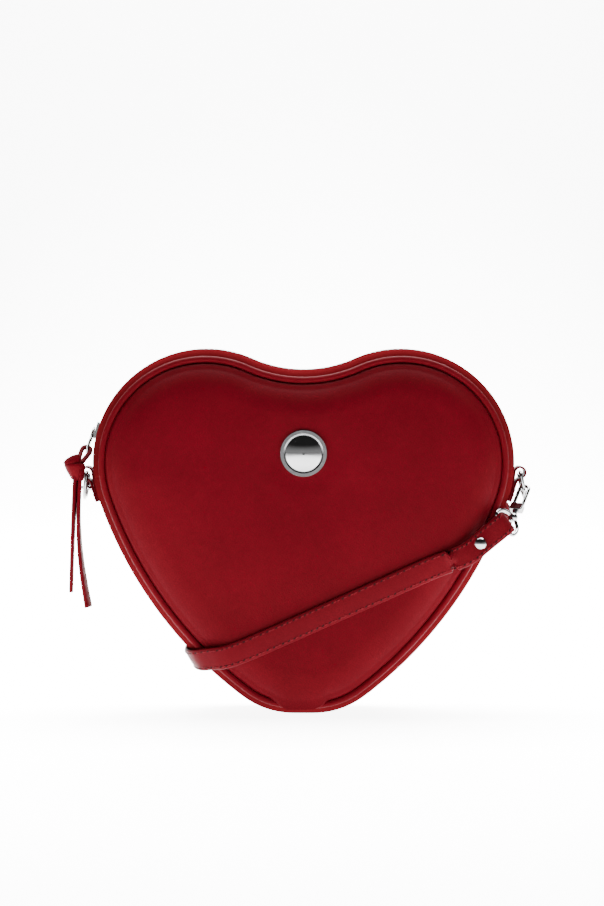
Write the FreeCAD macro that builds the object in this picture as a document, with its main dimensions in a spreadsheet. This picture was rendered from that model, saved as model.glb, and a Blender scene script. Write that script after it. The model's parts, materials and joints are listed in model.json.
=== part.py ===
import FreeCAD, Part
import math
import os
import re

import Sketcher
from FreeCAD import Placement, Rotation, Vector

# Heart shaped crossbody bag: two padded panels, piped seams, a zipped gusset,
# ring tabs with snap hooks, and one long strap that is wrapped round the bag.
# Millimetres. X to the right, Y to the back, Z up. The foot rests on z = 0.

# Every size that can be set by itself, with what it is
SIZES = {
    "lobe_radius": (54.0, "seam line: radius of the two lobes"),
    "lobe_offset": (51.0, "seam line: lobe centres to the middle"),
    "lobe_height": (131.5, "seam line: lobe centres above the floor"),
    "dip_drop": (10.8, "seam line: dip below the tops of the lobes"),
    "side_radius": (212.0, "seam line: long curve of the sides"),
    "foot_radius": (40.0, "seam line: curve of the tip"),
    "foot_half": (5.0, "seam line: half of the flat the bag stands on"),
    "seam_half": (23.0, "front and back seams from mid depth"),
    "piping_radius": (1.7, "covered cord"),
    "seat_gap": (0.1, "sewn pieces beside each other"),
    "panel_wall": (1.8, "panel leather with its padding"),
    "roll_width": (17.0, "rolled border of the panels"),
    "roll_rise": (8.5, "rise of the panels over the seams"),
    "gusset_wall": (1.4, "gusset leather"),
    "gusset_rise": (5.3, "crown of the gusset over the seam line"),
    "gusset_flat": (13.0, "half of the gusset's flat crown"),
    "gusset_split": (8.0, "zip gusset ends below the lobe centres, degrees"),
    "lining_gap": (0.4, "lining to what lies under it"),
    "lining_wall": (0.5, "lining cloth"),
    "zip_slot": (4.5, "half of the opening between the zip gussets"),
    "tape_wall": (0.55, "zip tape"),
    "tape_outer": (10.0, "outer edge of the tapes from the middle"),
    "chain_half": (2.4, "half width of the closed teeth"),
    "chain_base": (3.0, "underside of the teeth over the seam line"),
    "chain_top": (5.7, "top of the teeth over the seam line"),
    "tooth_pitch": (2.7, "teeth of one row"),
    "tooth_long": (1.15, "length of a tooth along the zip"),
    "tooth_reach": (0.5, "reach of a tooth into the other row"),
    "tooth_first": (1.0, "first tooth from the chain's end"),
    "rail_step": (0.2, "rail of a row over the underside of its teeth"),
    "chain_start": (6.0, "chain's end on the right lobe, degrees"),
    "stop_long": (2.4, "zip stops, length"),
    "stop_right": (3.0, "right zip stop over the lobe centre, degrees"),
    "stop_left": (5.0, "left zip stop over the lobe centre, degrees"),
    "slider_turn": (164.0, "slider's place on the left lobe, degrees"),
    "slider_long": (9.0, "slider plates, length"),
    "slider_wide": (8.6, "slider plates, width"),
    "slider_plate": (1.0, "slider plates, thickness"),
    "slider_round": (0.4, "slider plates, edges"),
    "slider_gap": (0.35, "slider plates to the teeth"),
    "web_long": (2.7, "slider web, length"),
    "web_wide": (1.6, "slider web, width"),
    "web_inset": (0.3, "slider web from the plates' end"),
    "lip_wall": (0.8, "slider side lips, thickness"),
    "lip_tall": (1.4, "slider side lips, height"),
    "lip_drop": (0.9, "slider side lips under the outer plate's underside"),
    "lip_inset": (0.6, "slider side lips from the plates' ends"),
    "bail_sink": (0.1, "slider bail sunk into its plate"),
    "pivot_rise": (0.9, "puller's pivot over the slider's plate"),
    "bail_radius": (2.4, "slider bail, centre line"),
    "bail_wire": (0.6, "slider bail and puller ring, wire radius"),
    "puller_ring": (4.0, "puller ring, centre line radius"),
    "puller_yaw": (40.0, "puller turned toward the front, degrees"),
    "puller_wide": (4.4, "puller plate, width"),
    "puller_wall": (1.4, "puller plate, thickness"),
    "puller_round": (0.5, "puller plate, edges"),
    "puller_end": (1.2, "puller plate beyond its hole"),
    "puller_hole": (1.4, "hole for the lace, radius"),
    "puller_reach": (12.6, "puller pivot to lace hole"),
    "lace_radius": (0.9, "lace in the puller"),
    "lace_loop": (3.2, "lace loop, centre line radius"),
    "knot_half": (6.0, "knot, half width"),
    "knot_deep": (5.2, "knot, half depth"),
    "knot_tall": (8.2, "knot, half height"),
    "knot_round": (4.2, "knot, rounding"),
    "knot_left": (4.4, "knot from the lace hole, to the left"),
    "knot_ahead": (8.1, "knot from the lace hole, to the front"),
    "knot_down": (8.8, "knot from the lace hole, downward"),
    "tail_apart": (1.4, "tails from the knot's middle"),
    "tail_sink": (4.0, "tops of the tails under the knot's middle"),
    "short_tail": (66.5, "short tail, knot's middle to its end"),
    "long_tail": (74.5, "long tail, knot's middle to its end"),
    "short_left": (3.9, "short tail's end, to the left"),
    "long_right": (5.1, "long tail's end, to the right"),
    "tail_wide": (7.0, "tails of the lace, width"),
    "tail_wall": (2.2, "tails of the lace, thickness"),
    "tab_wide": (15.0, "ring tabs, width"),
    "tab_wall": (2.4, "ring tabs, both layers"),
    "tab_start": (3.0, "top of the tab's sewn leg below the lobe centre, degrees"),
    "tab_sweep": (18.0, "tab's sewn leg, degrees"),
    "loop_outer": (3.75, "tab loop, outer radius"),
    "loop_hole": (1.9, "tab loop, hole radius"),
    "loop_turn": (5.0, "tab loop below the lobe centre, degrees"),
    "hang_drop": (27.0, "strap rings under the lobe centres"),
    "hang_turn": (15.585, "seam line from the tabs to the strap rings, as the hooks are set, degrees"),
    "ring_wire": (1.0, "D-rings, wire radius"),
    "ring_clear": (0.4, "tab to D-ring, and strap to strap ring"),
    "ring_leg": (4.7, "D-rings, straight legs"),
    "ring_corner": (2.0, "corner bends of the wire rings"),
    "strap_ring_wire": (0.95, "strap rings, wire radius"),
    "strap_ring_leg": (3.2, "strap rings, straight legs"),
    "hook_wire": (0.95, "snap hook, wire radius"),
    "hook_half": (2.5, "snap hook, centre lines of its two sides"),
    "hook_bar": (11.0, "snap hook, nose centre to block"),
    "hook_lip": (3.4, "snap hook, returned lip beyond the nose"),
    "hook_block": (4.5, "snap hook, block length"),
    "block_deep": (4.0, "snap hook, block depth"),
    "block_round": (0.5, "snap hook, block edges"),
    "gate_wire": (0.9, "gate, wire radius"),
    "gate_barrel": (1.05, "gate, barrel radius"),
    "gate_gap": (0.2, "gate to lip and slot"),
    "gate_pivot": (1.1, "gate pivot behind the block's front face"),
    "pin_radius": (0.45, "gate pin"),
    "pin_gap": (0.05, "running fit of pins and posts"),
    "stud_post": (1.05, "swivel post, radius"),
    "stud_flange": (1.3, "swivel post, peened end radius"),
    "stud_inset": (0.5, "swivel post, peened end behind the block's front face"),
    "flange_long": (0.9, "swivel post, peened end length"),
    "collar_foot": (1.8, "swivel collar, radius at the block"),
    "collar_top": (1.25, "swivel collar, radius at the ball"),
    "collar_long": (1.6, "swivel collar, length"),
    "stud_ball": (2.5, "swivel ball, radius"),
    "stud_hole": (1.45, "hole in the swivel ball"),
    "stud_neck": (4.6, "block to ball centre"),
    "strap_wide": (12.0, "strap, width"),
    "strap_wall": (2.4, "strap, thickness"),
    "layer_gap": (0.2, "between the strap's two layers at a rivet"),
    "fold_gap": (0.35, "strap fold to its ring"),
    "rivet_cap": (3.1, "rivet caps, radius"),
    "rivet_dome": (1.5, "outer rivet cap, rise"),
    "rivet_back": (1.0, "inner rivet cap, thickness"),
    "rivet_post": (1.2, "rivet post, radius"),
    "rivet_place": (15.9, "rivet from its strap ring"),
    "tail_past": (8.0, "strap end beyond its rivet"),
    "belt_height": (48.1, "strap over the floor where it crosses the middle of the front"),
    "belt_slope": (24.0, "strap across the front, degrees"),
    "belt_gap": (0.35, "strap to the panels"),
    "wrap_lift": (7.2, "strap climbs this far where it goes round the lower left edge"),
    "wrap_gap": (1.6, "strap to the gusset at the lower left edge"),
    "hairpin_half": (5.0, "strap turning back on itself behind the right side, radius"),
    "stud_radius": (12.0, "front ornament, rim radius"),
    "stud_rim": (1.2, "front ornament, rim height"),
    "stud_dome": (9.5, "front ornament, dome radius"),
    "stud_rise": (3.6, "front ornament, dome top"),
    "stud_over": (5.3, "front ornament over the lobe centres"),
    "screw_radius": (1.5, "ornament's screw post"),
    "washer_radius": (6.0, "ornament's washer"),
    "washer_wall": (0.9, "ornament's washer, thickness"),
}

doc = FreeCAD.newDocument("heart_bag")
sheet = doc.addObject("Spreadsheet::Sheet", "sizes")
for row, (name, (value, note)) in enumerate(SIZES.items(), start=1):
    sheet.set(f"A{row}", note)
    sheet.set(f"B{row}", str(value))
    sheet.setAlias(f"B{row}", name)
doc.recompute()


def size(name):
    return float(sheet.get(name))


def bound(text):
    """An expression with each size word pointed at the sheet."""
    return re.sub(r"[a-z_]+[a-z]", lambda word: "sizes." + word[0] if word[0] in SIZES else word[0], text)


def number(text):
    """The value of a sum of size words, for points that are worked out in space."""
    total = doc.addObject("App::FeaturePython", "sum")
    total.addProperty("App::PropertyFloat", "Value")
    total.setExpression("Value", bound(text))
    total.recompute()
    value = total.Value
    doc.removeObject(total.Name)
    return value


AHEAD = Vector(0, -1, 0)
BACK = Vector(0, 1, 0)
RIGHT = Vector(1, 0, 0)
UP = Vector(0, 0, 1)
nodes = {}


def unit(vector):
    return Vector(vector).normalize()


def aim(origin, z_axis, x_axis):
    """A placement whose own Z and X axes point along two given directions."""
    z_axis = unit(z_axis)
    x_axis = unit(x_axis - z_axis * x_axis.dot(z_axis))
    return Placement(origin, Rotation(x_axis, z_axis.cross(x_axis), z_axis, "ZXY"))


def primitive(kind, placement=None, **sizes):
    """A Part primitive whose sizes are sums of size words."""
    piece = doc.addObject("Part::" + kind, kind.lower())
    for prop, text in sizes.items():
        piece.setExpression(prop, bound(text))
    if placement is not None:
        piece.Placement = placement
    return piece


def fused(pieces):
    joined = doc.addObject("Part::MultiFuse", "fused")
    joined.Shapes = pieces
    joined.Refine = True
    return joined


def rounded(base, size_word):
    """A box with all its edges rounded."""
    soft = doc.addObject("Part::Fillet", "rounded")
    soft.Base = base
    soft.Edges = [(edge, size(size_word), size(size_word)) for edge in range(1, 13)]
    return soft


def drilled(base, tools):
    for tool in tools:
        cut = doc.addObject("Part::Cut", "drilled")
        cut.Base = base
        cut.Tool = tool
        base = cut
    return base


def node(label, piece, placement=None):
    """Names a finished sub-part and sets it in its place."""
    piece.Label = label
    if placement is not None:
        piece.Placement = placement
    nodes[label] = piece
    return piece


def shaped(label, shape):
    """A sub-part whose skin follows the seam line or a bent path."""
    piece = doc.addObject("Part::Feature", label)
    solids = shape.Solids
    if len(solids) != 1:
        raise ValueError(f"{label} has {len(solids)} solids")
    piece.Shape = solids[0]
    return node(label, piece, Placement())


# The seam line: eight tangent elements, drawn once and held by constraints
def tangent_centre(first, first_reach, second, second_reach):
    """The point at two distances from two centres, on the far side of the middle."""
    span = second - first
    along = (first_reach**2 - second_reach**2 + span.Length**2) / (2 * span.Length)
    height = math.sqrt(first_reach**2 - along**2)
    side = Vector(span.y, -span.x, 0).normalize()
    ends = [first + unit(span) * along + side * height * way for way in (1, -1)]
    return min(ends, key=lambda end: end.x)


def heading(start, end):
    return math.atan2(end.y - start.y, end.x - start.x)


def mirrored(point):
    return Vector(-point.x, point.y, 0)


DIP_RADIUS = (
    "(lobe_offset^2 + (lobe_radius - dip_drop)^2 - lobe_radius^2)"
    " / (2 * dip_drop)"
)


def seam_sketch():
    lobe_r, side_r, foot_r = size("lobe_radius"), size("side_radius"), size("foot_radius")
    dip_r = number(DIP_RADIUS)
    lobe = Vector(size("lobe_offset"), size("lobe_height"), 0)
    dip = Vector(0, number("lobe_height + lobe_radius - dip_drop") + dip_r, 0)
    foot = Vector(size("foot_half"), size("gusset_rise") + foot_r, 0)
    side = tangent_centre(lobe, side_r - lobe_r, foot, side_r - foot_r)
    to_dip, to_lobe, to_foot = heading(lobe, dip), heading(side, lobe), heading(side, foot)
    half_turn, down = math.pi, -math.pi / 2
    arcs = [
        (dip, dip_r, -to_dip, to_dip - half_turn),
        (lobe, lobe_r, to_lobe, to_dip),
        (side, side_r, to_foot, to_lobe),
        (foot, foot_r, down, to_foot),
        None,
        (mirrored(foot), foot_r, half_turn - to_foot, 2 * half_turn + down),
        (mirrored(side), side_r, half_turn - to_lobe, half_turn - to_foot),
        (mirrored(lobe), lobe_r, half_turn - to_dip, half_turn - to_lobe),
    ]
    sketch = doc.addObject("Sketcher::SketchObject", "seam_line")
    sketch.Placement = Placement(Vector(), Rotation(RIGHT, 90))
    for arc in arcs:
        if arc is None:
            ground = size("gusset_rise")
            ends = [Vector(way * size("foot_half"), ground, 0) for way in (-1, 1)]
            sketch.addGeometry(Part.LineSegment(*ends))
            continue
        centre, radius, start, end = arc
        sketch.addGeometry(Part.ArcOfCircle(Part.Circle(centre, Vector(0, 0, 1), radius), start, end))
    joints = [(0, 2, 1, 2), (1, 1, 2, 2), (2, 1, 3, 2), (3, 1, 4, 2)]
    joints += [(4, 1, 5, 2), (5, 1, 6, 2), (6, 1, 7, 2), (7, 1, 0, 1)]
    for joint in joints:
        sketch.addConstraint(Sketcher.Constraint("Tangent", *joint))
    sketch.addConstraint(Sketcher.Constraint("Symmetric", 7, 3, 1, 3, -2))
    sketch.addConstraint(Sketcher.Constraint("Symmetric", 4, 1, 4, 2, -2))
    for right, left in ((1, 7), (2, 6), (3, 5)):
        sketch.addConstraint(Sketcher.Constraint("Equal", right, left))
    driven = [
        (("DistanceX", -1, 1, 1, 3, lobe.x), "lobe_offset"),
        (("DistanceY", -1, 1, 1, 3, lobe.y), "lobe_height"),
        (("DistanceY", -1, 1, 4, 2, size("gusset_rise")), "gusset_rise"),
        (("DistanceX", 4, 1, 4, 2, 2 * size("foot_half")), "2 * foot_half"),
        (("Radius", 0, dip_r), DIP_RADIUS),
        (("Radius", 1, lobe_r), "lobe_radius"),
        (("Radius", 2, side_r), "side_radius"),
        (("Radius", 3, foot_r), "foot_radius"),
    ]
    for made, text in driven:
        index = sketch.addConstraint(Sketcher.Constraint(*made))
        sketch.setExpression(f"Constraints[{index}]", bound(text))
    doc.recompute()
    return sketch


seam = seam_sketch()
ELEMENTS = seam.Geometry
DIP, RIGHT_LOBE, RIGHT_SIDE, RIGHT_FOOT, FOOT, LEFT_FOOT, LEFT_SIDE, LEFT_LOBE = ELEMENTS


class Stretch:
    """One element of the seam line, or a part of one, with its outward side."""

    def __init__(self, element, start=None, end=None):
        self.straight = element.TypeId == "Part::GeomLineSegment"
        if self.straight:
            self.ends = [Vector(p.x, 0, p.y) for p in (element.StartPoint, element.EndPoint)]
            self.start, self.end = 0.0, 1.0
            return
        self.centre = Vector(element.Center.x, 0, element.Center.y)
        self.radius = element.Radius
        self.outward = -1 if element is DIP else 1
        turns = 2 * math.pi if element.FirstParameter > math.pi else 0.0
        self.start = element.FirstParameter - turns if start is None else math.radians(start)
        self.end = element.LastParameter - turns if end is None else math.radians(end)

    def normal(self, turn):
        if self.straight:
            return -UP
        return Vector(math.cos(turn), 0, math.sin(turn)) * self.outward

    def point(self, turn, out=0.0, depth=0.0):
        if self.straight:
            return self.ends[0] + (self.ends[1] - self.ends[0]) * turn - UP * out + BACK * depth
        reach = self.radius + self.outward * out
        return self.centre + Vector(math.cos(turn), 0, math.sin(turn)) * reach + BACK * depth

    def length(self, out):
        return (self.radius + self.outward * out) * (self.end - self.start)


SPLIT = size("gusset_split")
whole_seam = [Stretch(element) for element in ELEMENTS]
upper_seam = [Stretch(RIGHT_LOBE, start=-SPLIT), Stretch(DIP), Stretch(LEFT_LOBE, end=180 + SPLIT)]
GAP_TURN = math.degrees(size("seat_gap") / size("lobe_radius"))
lower_seam = [Stretch(RIGHT_LOBE, end=-SPLIT - GAP_TURN)]
lower_seam += [Stretch(e) for e in (RIGHT_SIDE, RIGHT_FOOT, FOOT, LEFT_FOOT, LEFT_SIDE)]
lower_seam += [Stretch(LEFT_LOBE, start=180 + SPLIT + GAP_TURN)]


def outside_out(solid):
    """The same solid with its skin facing outward."""
    return solid.reversed() if solid.Volume < 0 else solid


def edge_through(spots):
    """A straight edge through two spots, or an arc through three."""
    curve = Part.LineSegment if len(spots) == 2 else Part.Arc
    return curve(*spots).toShape()


def swept(outline, stretches):
    """Carries a flat outline of (outward, depth) points along the seam line."""
    solids = []
    for stretch in stretches:
        edges = []
        for points in outline:
            edges.append(edge_through([stretch.point(stretch.start, *point) for point in points]))
        face = Part.Face(Part.Wire(edges))
        if stretch.straight:
            solids.append(outside_out(face.extrude(stretch.ends[1] - stretch.ends[0])))
        else:
            sweep = math.degrees(stretch.end - stretch.start)
            solids.append(outside_out(face.revolve(stretch.centre, AHEAD, sweep)))
    return solids[0].multiFuse(solids[1:]).removeSplitter()


def on_circle(centre, radius, turn):
    return (centre[0] + radius * math.sin(turn), centre[1] + radius * math.cos(turn))


def flipped(outline, way):
    return [[(out, way * depth) for out, depth in points] for points in outline]


# Panels: a rolled border on the seam line, closed by a flat field
ROLL_RADIUS = (size("roll_width") ** 2 + size("roll_rise") ** 2) / (2 * size("roll_rise"))
ROLL_TURN = math.asin(size("roll_width") / ROLL_RADIUS)
RIM = size("piping_radius") + size("seat_gap")
FIELD_EDGE = RIM + size("roll_width")
PANEL_FACE = size("seam_half") + size("roll_rise")


def panel_shape(way, outer, wall):
    """A padded heart skin: outer is how far its outside lies under the panel's face."""
    centre = (-FIELD_EDGE, PANEL_FACE - ROLL_RADIUS)
    far, near = ROLL_RADIUS - outer, ROLL_RADIUS - outer - wall
    rim_in, rim_out = on_circle(centre, near, ROLL_TURN), on_circle(centre, far, ROLL_TURN)
    top_in, top_out = on_circle(centre, near, 0), on_circle(centre, far, 0)
    mid_in, mid_out = on_circle(centre, near, ROLL_TURN / 2), on_circle(centre, far, ROLL_TURN / 2)
    border = [[rim_out, mid_out, top_out], [top_out, top_in], [top_in, mid_in, rim_in], [rim_in, rim_out]]
    edges = []
    for stretch in whole_seam:
        turns = [stretch.start, stretch.end]
        if not stretch.straight:
            turns.insert(1, (stretch.start + stretch.end) / 2)
        edges.append(edge_through([stretch.point(t, -FIELD_EDGE, way * (PANEL_FACE - outer)) for t in turns]))
    wire = Part.Wire(Part.__sortEdges__(edges))
    field = outside_out(Part.Face(wire).extrude(AHEAD * way * wall))
    return swept(flipped(border, way), whole_seam).fuse(field).removeSplitter()


def bored(shape, origin, direction, radius, length):
    return shape.cut(Part.makeCylinder(radius, length, origin, direction))


SCREW_SPOT = UP * number("lobe_height + stud_over")
front = panel_shape(-1, 0, size("panel_wall"))
front = bored(front, SCREW_SPOT, AHEAD, number("screw_radius + seat_gap"), PANEL_FACE + 1)
shaped("front_panel", front)
shaped("back_panel", panel_shape(1, 0, size("panel_wall")))
washer_room = number("washer_wall + 2 * seat_gap")
LINING_DEPTH = number("panel_wall + lining_gap")
shaped("lining_front", panel_shape(-1, LINING_DEPTH + washer_room, size("lining_wall")))
shaped("lining_back", panel_shape(1, LINING_DEPTH, size("lining_wall")))

# Piping
cord = size("piping_radius")
for label, depth in (("front_piping", -size("seam_half")), ("back_piping", size("seam_half"))):
    halves = [[(way * cord, depth), (0, depth + way * cord), (-way * cord, depth)] for way in (1, -1)]
    shaped(label, swept(halves, whole_seam))

# Gussets: arched from the seams to a flat crown
SEAT = number("seam_half - piping_radius - seat_gap")
SHOULDER = SEAT - size("gusset_flat")
ARCH_RADIUS = (SHOULDER**2 + size("gusset_rise") ** 2) / (2 * size("gusset_rise"))
ARCH_TURN = math.asin(SHOULDER / ARCH_RADIUS)


def gusset_half(under, wall, inner):
    """One half of a gusset's outline, from its seam to a given depth near the middle."""
    centre = (size("gusset_rise") - ARCH_RADIUS, size("gusset_flat"))
    far, near = ARCH_RADIUS - under, ARCH_RADIUS - under - wall

    def arch(radius, turn):
        return (centre[0] + radius * math.cos(turn), centre[1] + radius * math.sin(turn))

    turns = (0, ARCH_TURN / 2, ARCH_TURN)
    outside = [[(centre[0] + far, inner), arch(far, 0)], [arch(far, turn) for turn in turns]]
    inside = [[arch(near, turn) for turn in turns[::-1]], [arch(near, 0), (centre[0] + near, inner)]]
    return outside, inside


def reversed_outline(outline):
    return [points[::-1] for points in outline[::-1]]


def gusset_strip(way, under, wall):
    outside, inside = gusset_half(under, wall, size("zip_slot"))
    seam_end = [[outside[-1][-1], inside[0][0]]]
    slot_end = [[inside[-1][-1], outside[0][0]]]
    return flipped(outside + seam_end + inside + slot_end, way)


def gusset_band(under, wall):
    outside, inside = gusset_half(under, wall, 0.0)
    seam_end = [[outside[-1][-1], inside[0][0]]]
    half = outside + seam_end + inside
    return half + reversed_outline(flipped(half, -1))


wall = size("gusset_wall")
lining_under = number("gusset_wall + tape_wall + lining_gap")
shaped("bottom_gusset", swept(gusset_band(0, wall), lower_seam))
shaped("zip_gusset_front", swept(gusset_strip(-1, 0, wall), upper_seam))
shaped("zip_gusset_back", swept(gusset_strip(1, 0, wall), upper_seam))
shaped("lining_base", swept(gusset_band(lining_under, size("lining_wall")), lower_seam))
shaped("lining_zip_front", swept(gusset_strip(-1, lining_under, size("lining_wall")), upper_seam))
shaped("lining_zip_back", swept(gusset_strip(1, lining_under, size("lining_wall")), upper_seam))

# Zip: tapes under the gusset strips, and two rows of teeth between them
tape_top = number("gusset_rise - gusset_wall - seat_gap / 2")
tape_low = tape_top - size("tape_wall")
tape_edge = number("chain_half + seat_gap / 2")
zip_seam = [Stretch(RIGHT_LOBE, start=0), Stretch(DIP), Stretch(LEFT_LOBE, end=180)]


def slab(low, high, near, far):
    corners = [(low, near), (high, near), (high, far), (low, far)]
    return [[corners[i], corners[(i + 1) % 4]] for i in range(4)]


def tooth(stretch, turn, way):
    """A block standing on the chain, from its own row into the other one."""
    outward = stretch.normal(turn)
    ahead = outward.cross(AHEAD)
    wide = number("chain_half + tooth_reach")
    nearest = -size("chain_half") if way < 0 else -size("tooth_reach")
    corner = stretch.point(turn, size("chain_base"), nearest) - ahead * (size("tooth_long") / 2)
    block = Part.makeBox(size("tooth_long"), wide, size("chain_top") - size("chain_base"))
    block.Placement = aim(corner, outward, ahead)
    return block


def tooth_row(way, chain_seam, offset):
    """A rail along the tape's edge with a tooth at every pitch."""
    middle = number("(chain_base + chain_top) / 2")
    reach = size("chain_half")
    rail = swept(flipped(slab(number("chain_base + rail_step"), middle, reach / 2, reach), way), chain_seam)
    teeth = []
    place = offset
    for stretch in chain_seam:
        radius = stretch.length(middle) / (stretch.end - stretch.start)
        run = stretch.length(middle)
        while place < run:
            gone = place / radius
            turn = stretch.end - gone if stretch.outward < 0 else stretch.start + gone
            teeth.append(tooth(stretch, turn, way))
            place += size("tooth_pitch")
        place -= run
    return rail.fuse(teeth)


slider_half_turn = math.degrees(size("slider_long") / 2 / number("lobe_radius + chain_top"))
chain_end = size("slider_turn") - slider_half_turn
chain_seam = [Stretch(RIGHT_LOBE, start=size("chain_start")), Stretch(DIP), Stretch(LEFT_LOBE, end=chain_end)]
first_back = number("tooth_first + tooth_pitch / 2")
for name, way, offset in (("front", -1, size("tooth_first")), ("back", 1, first_back)):
    tape = flipped(slab(tape_low, tape_top, tape_edge, size("tape_outer")), way)
    shaped(f"zip_tape_{name}", swept(tape, zip_seam))
    shaped(f"zip_teeth_{name}", tooth_row(way, chain_seam, offset))


def lobe_frame(side, turn, out):
    """A point over a lobe's seam, with the outward and the rising direction there."""
    lobe = Stretch(RIGHT_LOBE if side > 0 else LEFT_LOBE)
    angle = math.radians(turn)
    outward = lobe.normal(angle)
    rising = Vector(outward.z, 0, -outward.x) * (-side)
    return lobe.point(angle, out), outward, rising


def box_at(frame, low, **sizes):
    """A box in a frame of (origin, outward, rising), from its low corner."""
    origin, outward, rising = frame
    corner = origin + rising * low[0] + outward.cross(rising) * low[1] + outward * low[2]
    return primitive("Box", aim(corner, outward, rising), **sizes)


stop_low = (-size("stop_long") / 2, -number("chain_half - seat_gap"), 0)
stop_sizes = {"Length": "stop_long", "Width": "2 * (chain_half - seat_gap)"}
stop_sizes["Height"] = "chain_top - chain_base"
stop_turns = {"zip_stop_right": (1, size("stop_right")), "zip_stop_left": (-1, 180 - size("stop_left"))}
for label, (side, turn) in stop_turns.items():
    frame = lobe_frame(side, turn, size("chain_base"))
    node(label, box_at(frame, stop_low, **stop_sizes))

# Slider: two plates joined by a web, side flanges in the slot, and a bail
frame = lobe_frame(-1, size("slider_turn"), 0)
origin, outward, rising = frame
half_long, half_wide = size("slider_long") / 2, size("slider_wide") / 2
plate_low = number("chain_base - slider_gap - slider_plate")
plate_high = number("chain_top + slider_gap")
slider_pieces = []
for level in (plate_low, plate_high):
    low = (-half_long, -half_wide, level)
    plate = box_at(frame, low, Length="slider_long", Width="slider_wide", Height="slider_plate")
    slider_pieces.append(rounded(plate, "slider_round"))
web_high = "chain_top - chain_base + 2 * slider_gap + slider_plate"
web_low = (size("web_inset") - half_long, -size("web_wide") / 2, plate_low + size("slider_plate") / 2)
slider_pieces.append(box_at(frame, web_low, Length="web_long", Width="web_wide", Height=web_high))
lip_sizes = {"Length": "slider_long - 2 * lip_inset", "Width": "lip_wall", "Height": "lip_tall"}
for low_side in (-half_wide, half_wide - size("lip_wall")):
    low = (size("lip_inset") - half_long, low_side, plate_high - size("lip_drop"))
    slider_pieces.append(box_at(frame, low, **lip_sizes))
bail_frame = aim(origin + outward * (plate_high + number("slider_plate - bail_sink")), AHEAD, -rising)
slider_pieces.append(primitive("Torus", bail_frame, Radius1="bail_radius", Radius2="bail_wire", Angle3="180"))
node("zip_slider", fused(slider_pieces))

# Puller: a ring under the bail and a drilled plate, turned toward the front
pivot = origin + outward * (plate_high + number("slider_plate + pivot_rise"))
yaw = math.radians(size("puller_yaw"))
puller_along = -rising * math.cos(yaw) + AHEAD * math.sin(yaw)
puller_across = outward.cross(puller_along)
puller_frame = aim(Vector(), outward, puller_along)
ring_end = number("2 * puller_ring - bail_wire / 4")
ring_spot = Placement(Vector(size("puller_ring"), 0, 0), Rotation())
ring = primitive("Torus", ring_spot, Radius1="puller_ring", Radius2="bail_wire")
plate_corner = Placement(Vector(ring_end, -size("puller_wide") / 2, -size("puller_wall") / 2), Rotation())
plate = primitive(
    "Box",
    plate_corner,
    Length="puller_reach + puller_hole + puller_end - 2 * puller_ring + bail_wire / 4",
    Width="puller_wide",
    Height="puller_wall",
)
hole_low = Placement(Vector(size("puller_reach"), 0, -size("puller_wall")), Rotation())
hole = primitive("Cylinder", hole_low, Radius="puller_hole", Height="2 * puller_wall")
puller = drilled(fused([ring, rounded(plate, "puller_round")]), [hole])
node("zip_puller", puller, Placement(pivot, puller_frame.Rotation))

# Leather pull: lace through the puller's hole, a knot and two hanging tails
lace_hole = pivot + puller_along * size("puller_reach")
KNOT = lace_hole - Vector(size("knot_left"), size("knot_ahead"), size("knot_down"))
SHORT_END = KNOT - Vector(size("short_left"), 0, size("short_tail"))
LONG_END = KNOT + Vector(size("long_right"), 0, -size("long_tail"))
to_knot = unit(KNOT - lace_hole)
loop_centre = lace_hole + to_knot * size("lace_loop")
loop = primitive(
    "Torus", aim(loop_centre, to_knot.cross(outward), to_knot), Radius1="lace_loop", Radius2="lace_radius"
)
knot_corner = KNOT - Vector(size("knot_half"), size("knot_deep"), size("knot_tall"))
knot_block = primitive(
    "Box",
    Placement(knot_corner, Rotation()),
    Length="2 * knot_half",
    Width="2 * knot_deep",
    Height="2 * knot_tall",
)
pull_pieces = [loop, rounded(knot_block, "knot_round")]
for way, end in ((-1, SHORT_END), (1, LONG_END)):
    top = KNOT + RIGHT * (way * size("tail_apart")) - UP * size("tail_sink")
    along = end - top
    tail_frame = aim(top, along, RIGHT)
    corner = tail_frame.multVec(Vector(-size("tail_wall") / 2, -size("tail_wide") / 2, 0))
    tail_sizes = {"Length": "tail_wall", "Width": "tail_wide", "Height": f"{along.Length:.2f}"}
    pull_pieces.append(primitive("Box", Placement(corner, tail_frame.Rotation), **tail_sizes))
node("leather_pull", fused(pull_pieces))


def wire_ring(label, placement, half, leg, wire):
    """A D shaped wire ring: bar along X through the origin, legs and bow along Y."""
    corner = size("ring_corner")
    wide, tall = number(half), number(leg)
    bent = f"({half})"
    bar = primitive(
        "Cylinder",
        aim(Vector(corner - wide, 0, 0), RIGHT, UP),
        Radius=wire,
        Height=f"2 * ({bent} - ring_corner)",
    )
    pieces = [bar]
    for way in (-1, 1):
        leg_foot = aim(Vector(way * wide, corner, 0), BACK, RIGHT)
        pieces.append(primitive("Cylinder", leg_foot, Radius=wire, Height=f"{leg} - ring_corner"))
        bend = aim(Vector(way * (wide - corner), corner, 0), UP, AHEAD if way > 0 else -RIGHT)
        pieces.append(primitive("Torus", bend, Radius1="ring_corner", Radius2=wire, Angle3="90"))
    bow = aim(Vector(0, tall, 0), UP, RIGHT)
    pieces.append(primitive("Torus", bow, Radius1=bent, Radius2=wire, Angle3="180"))
    return node(label, fused(pieces), placement)


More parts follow.
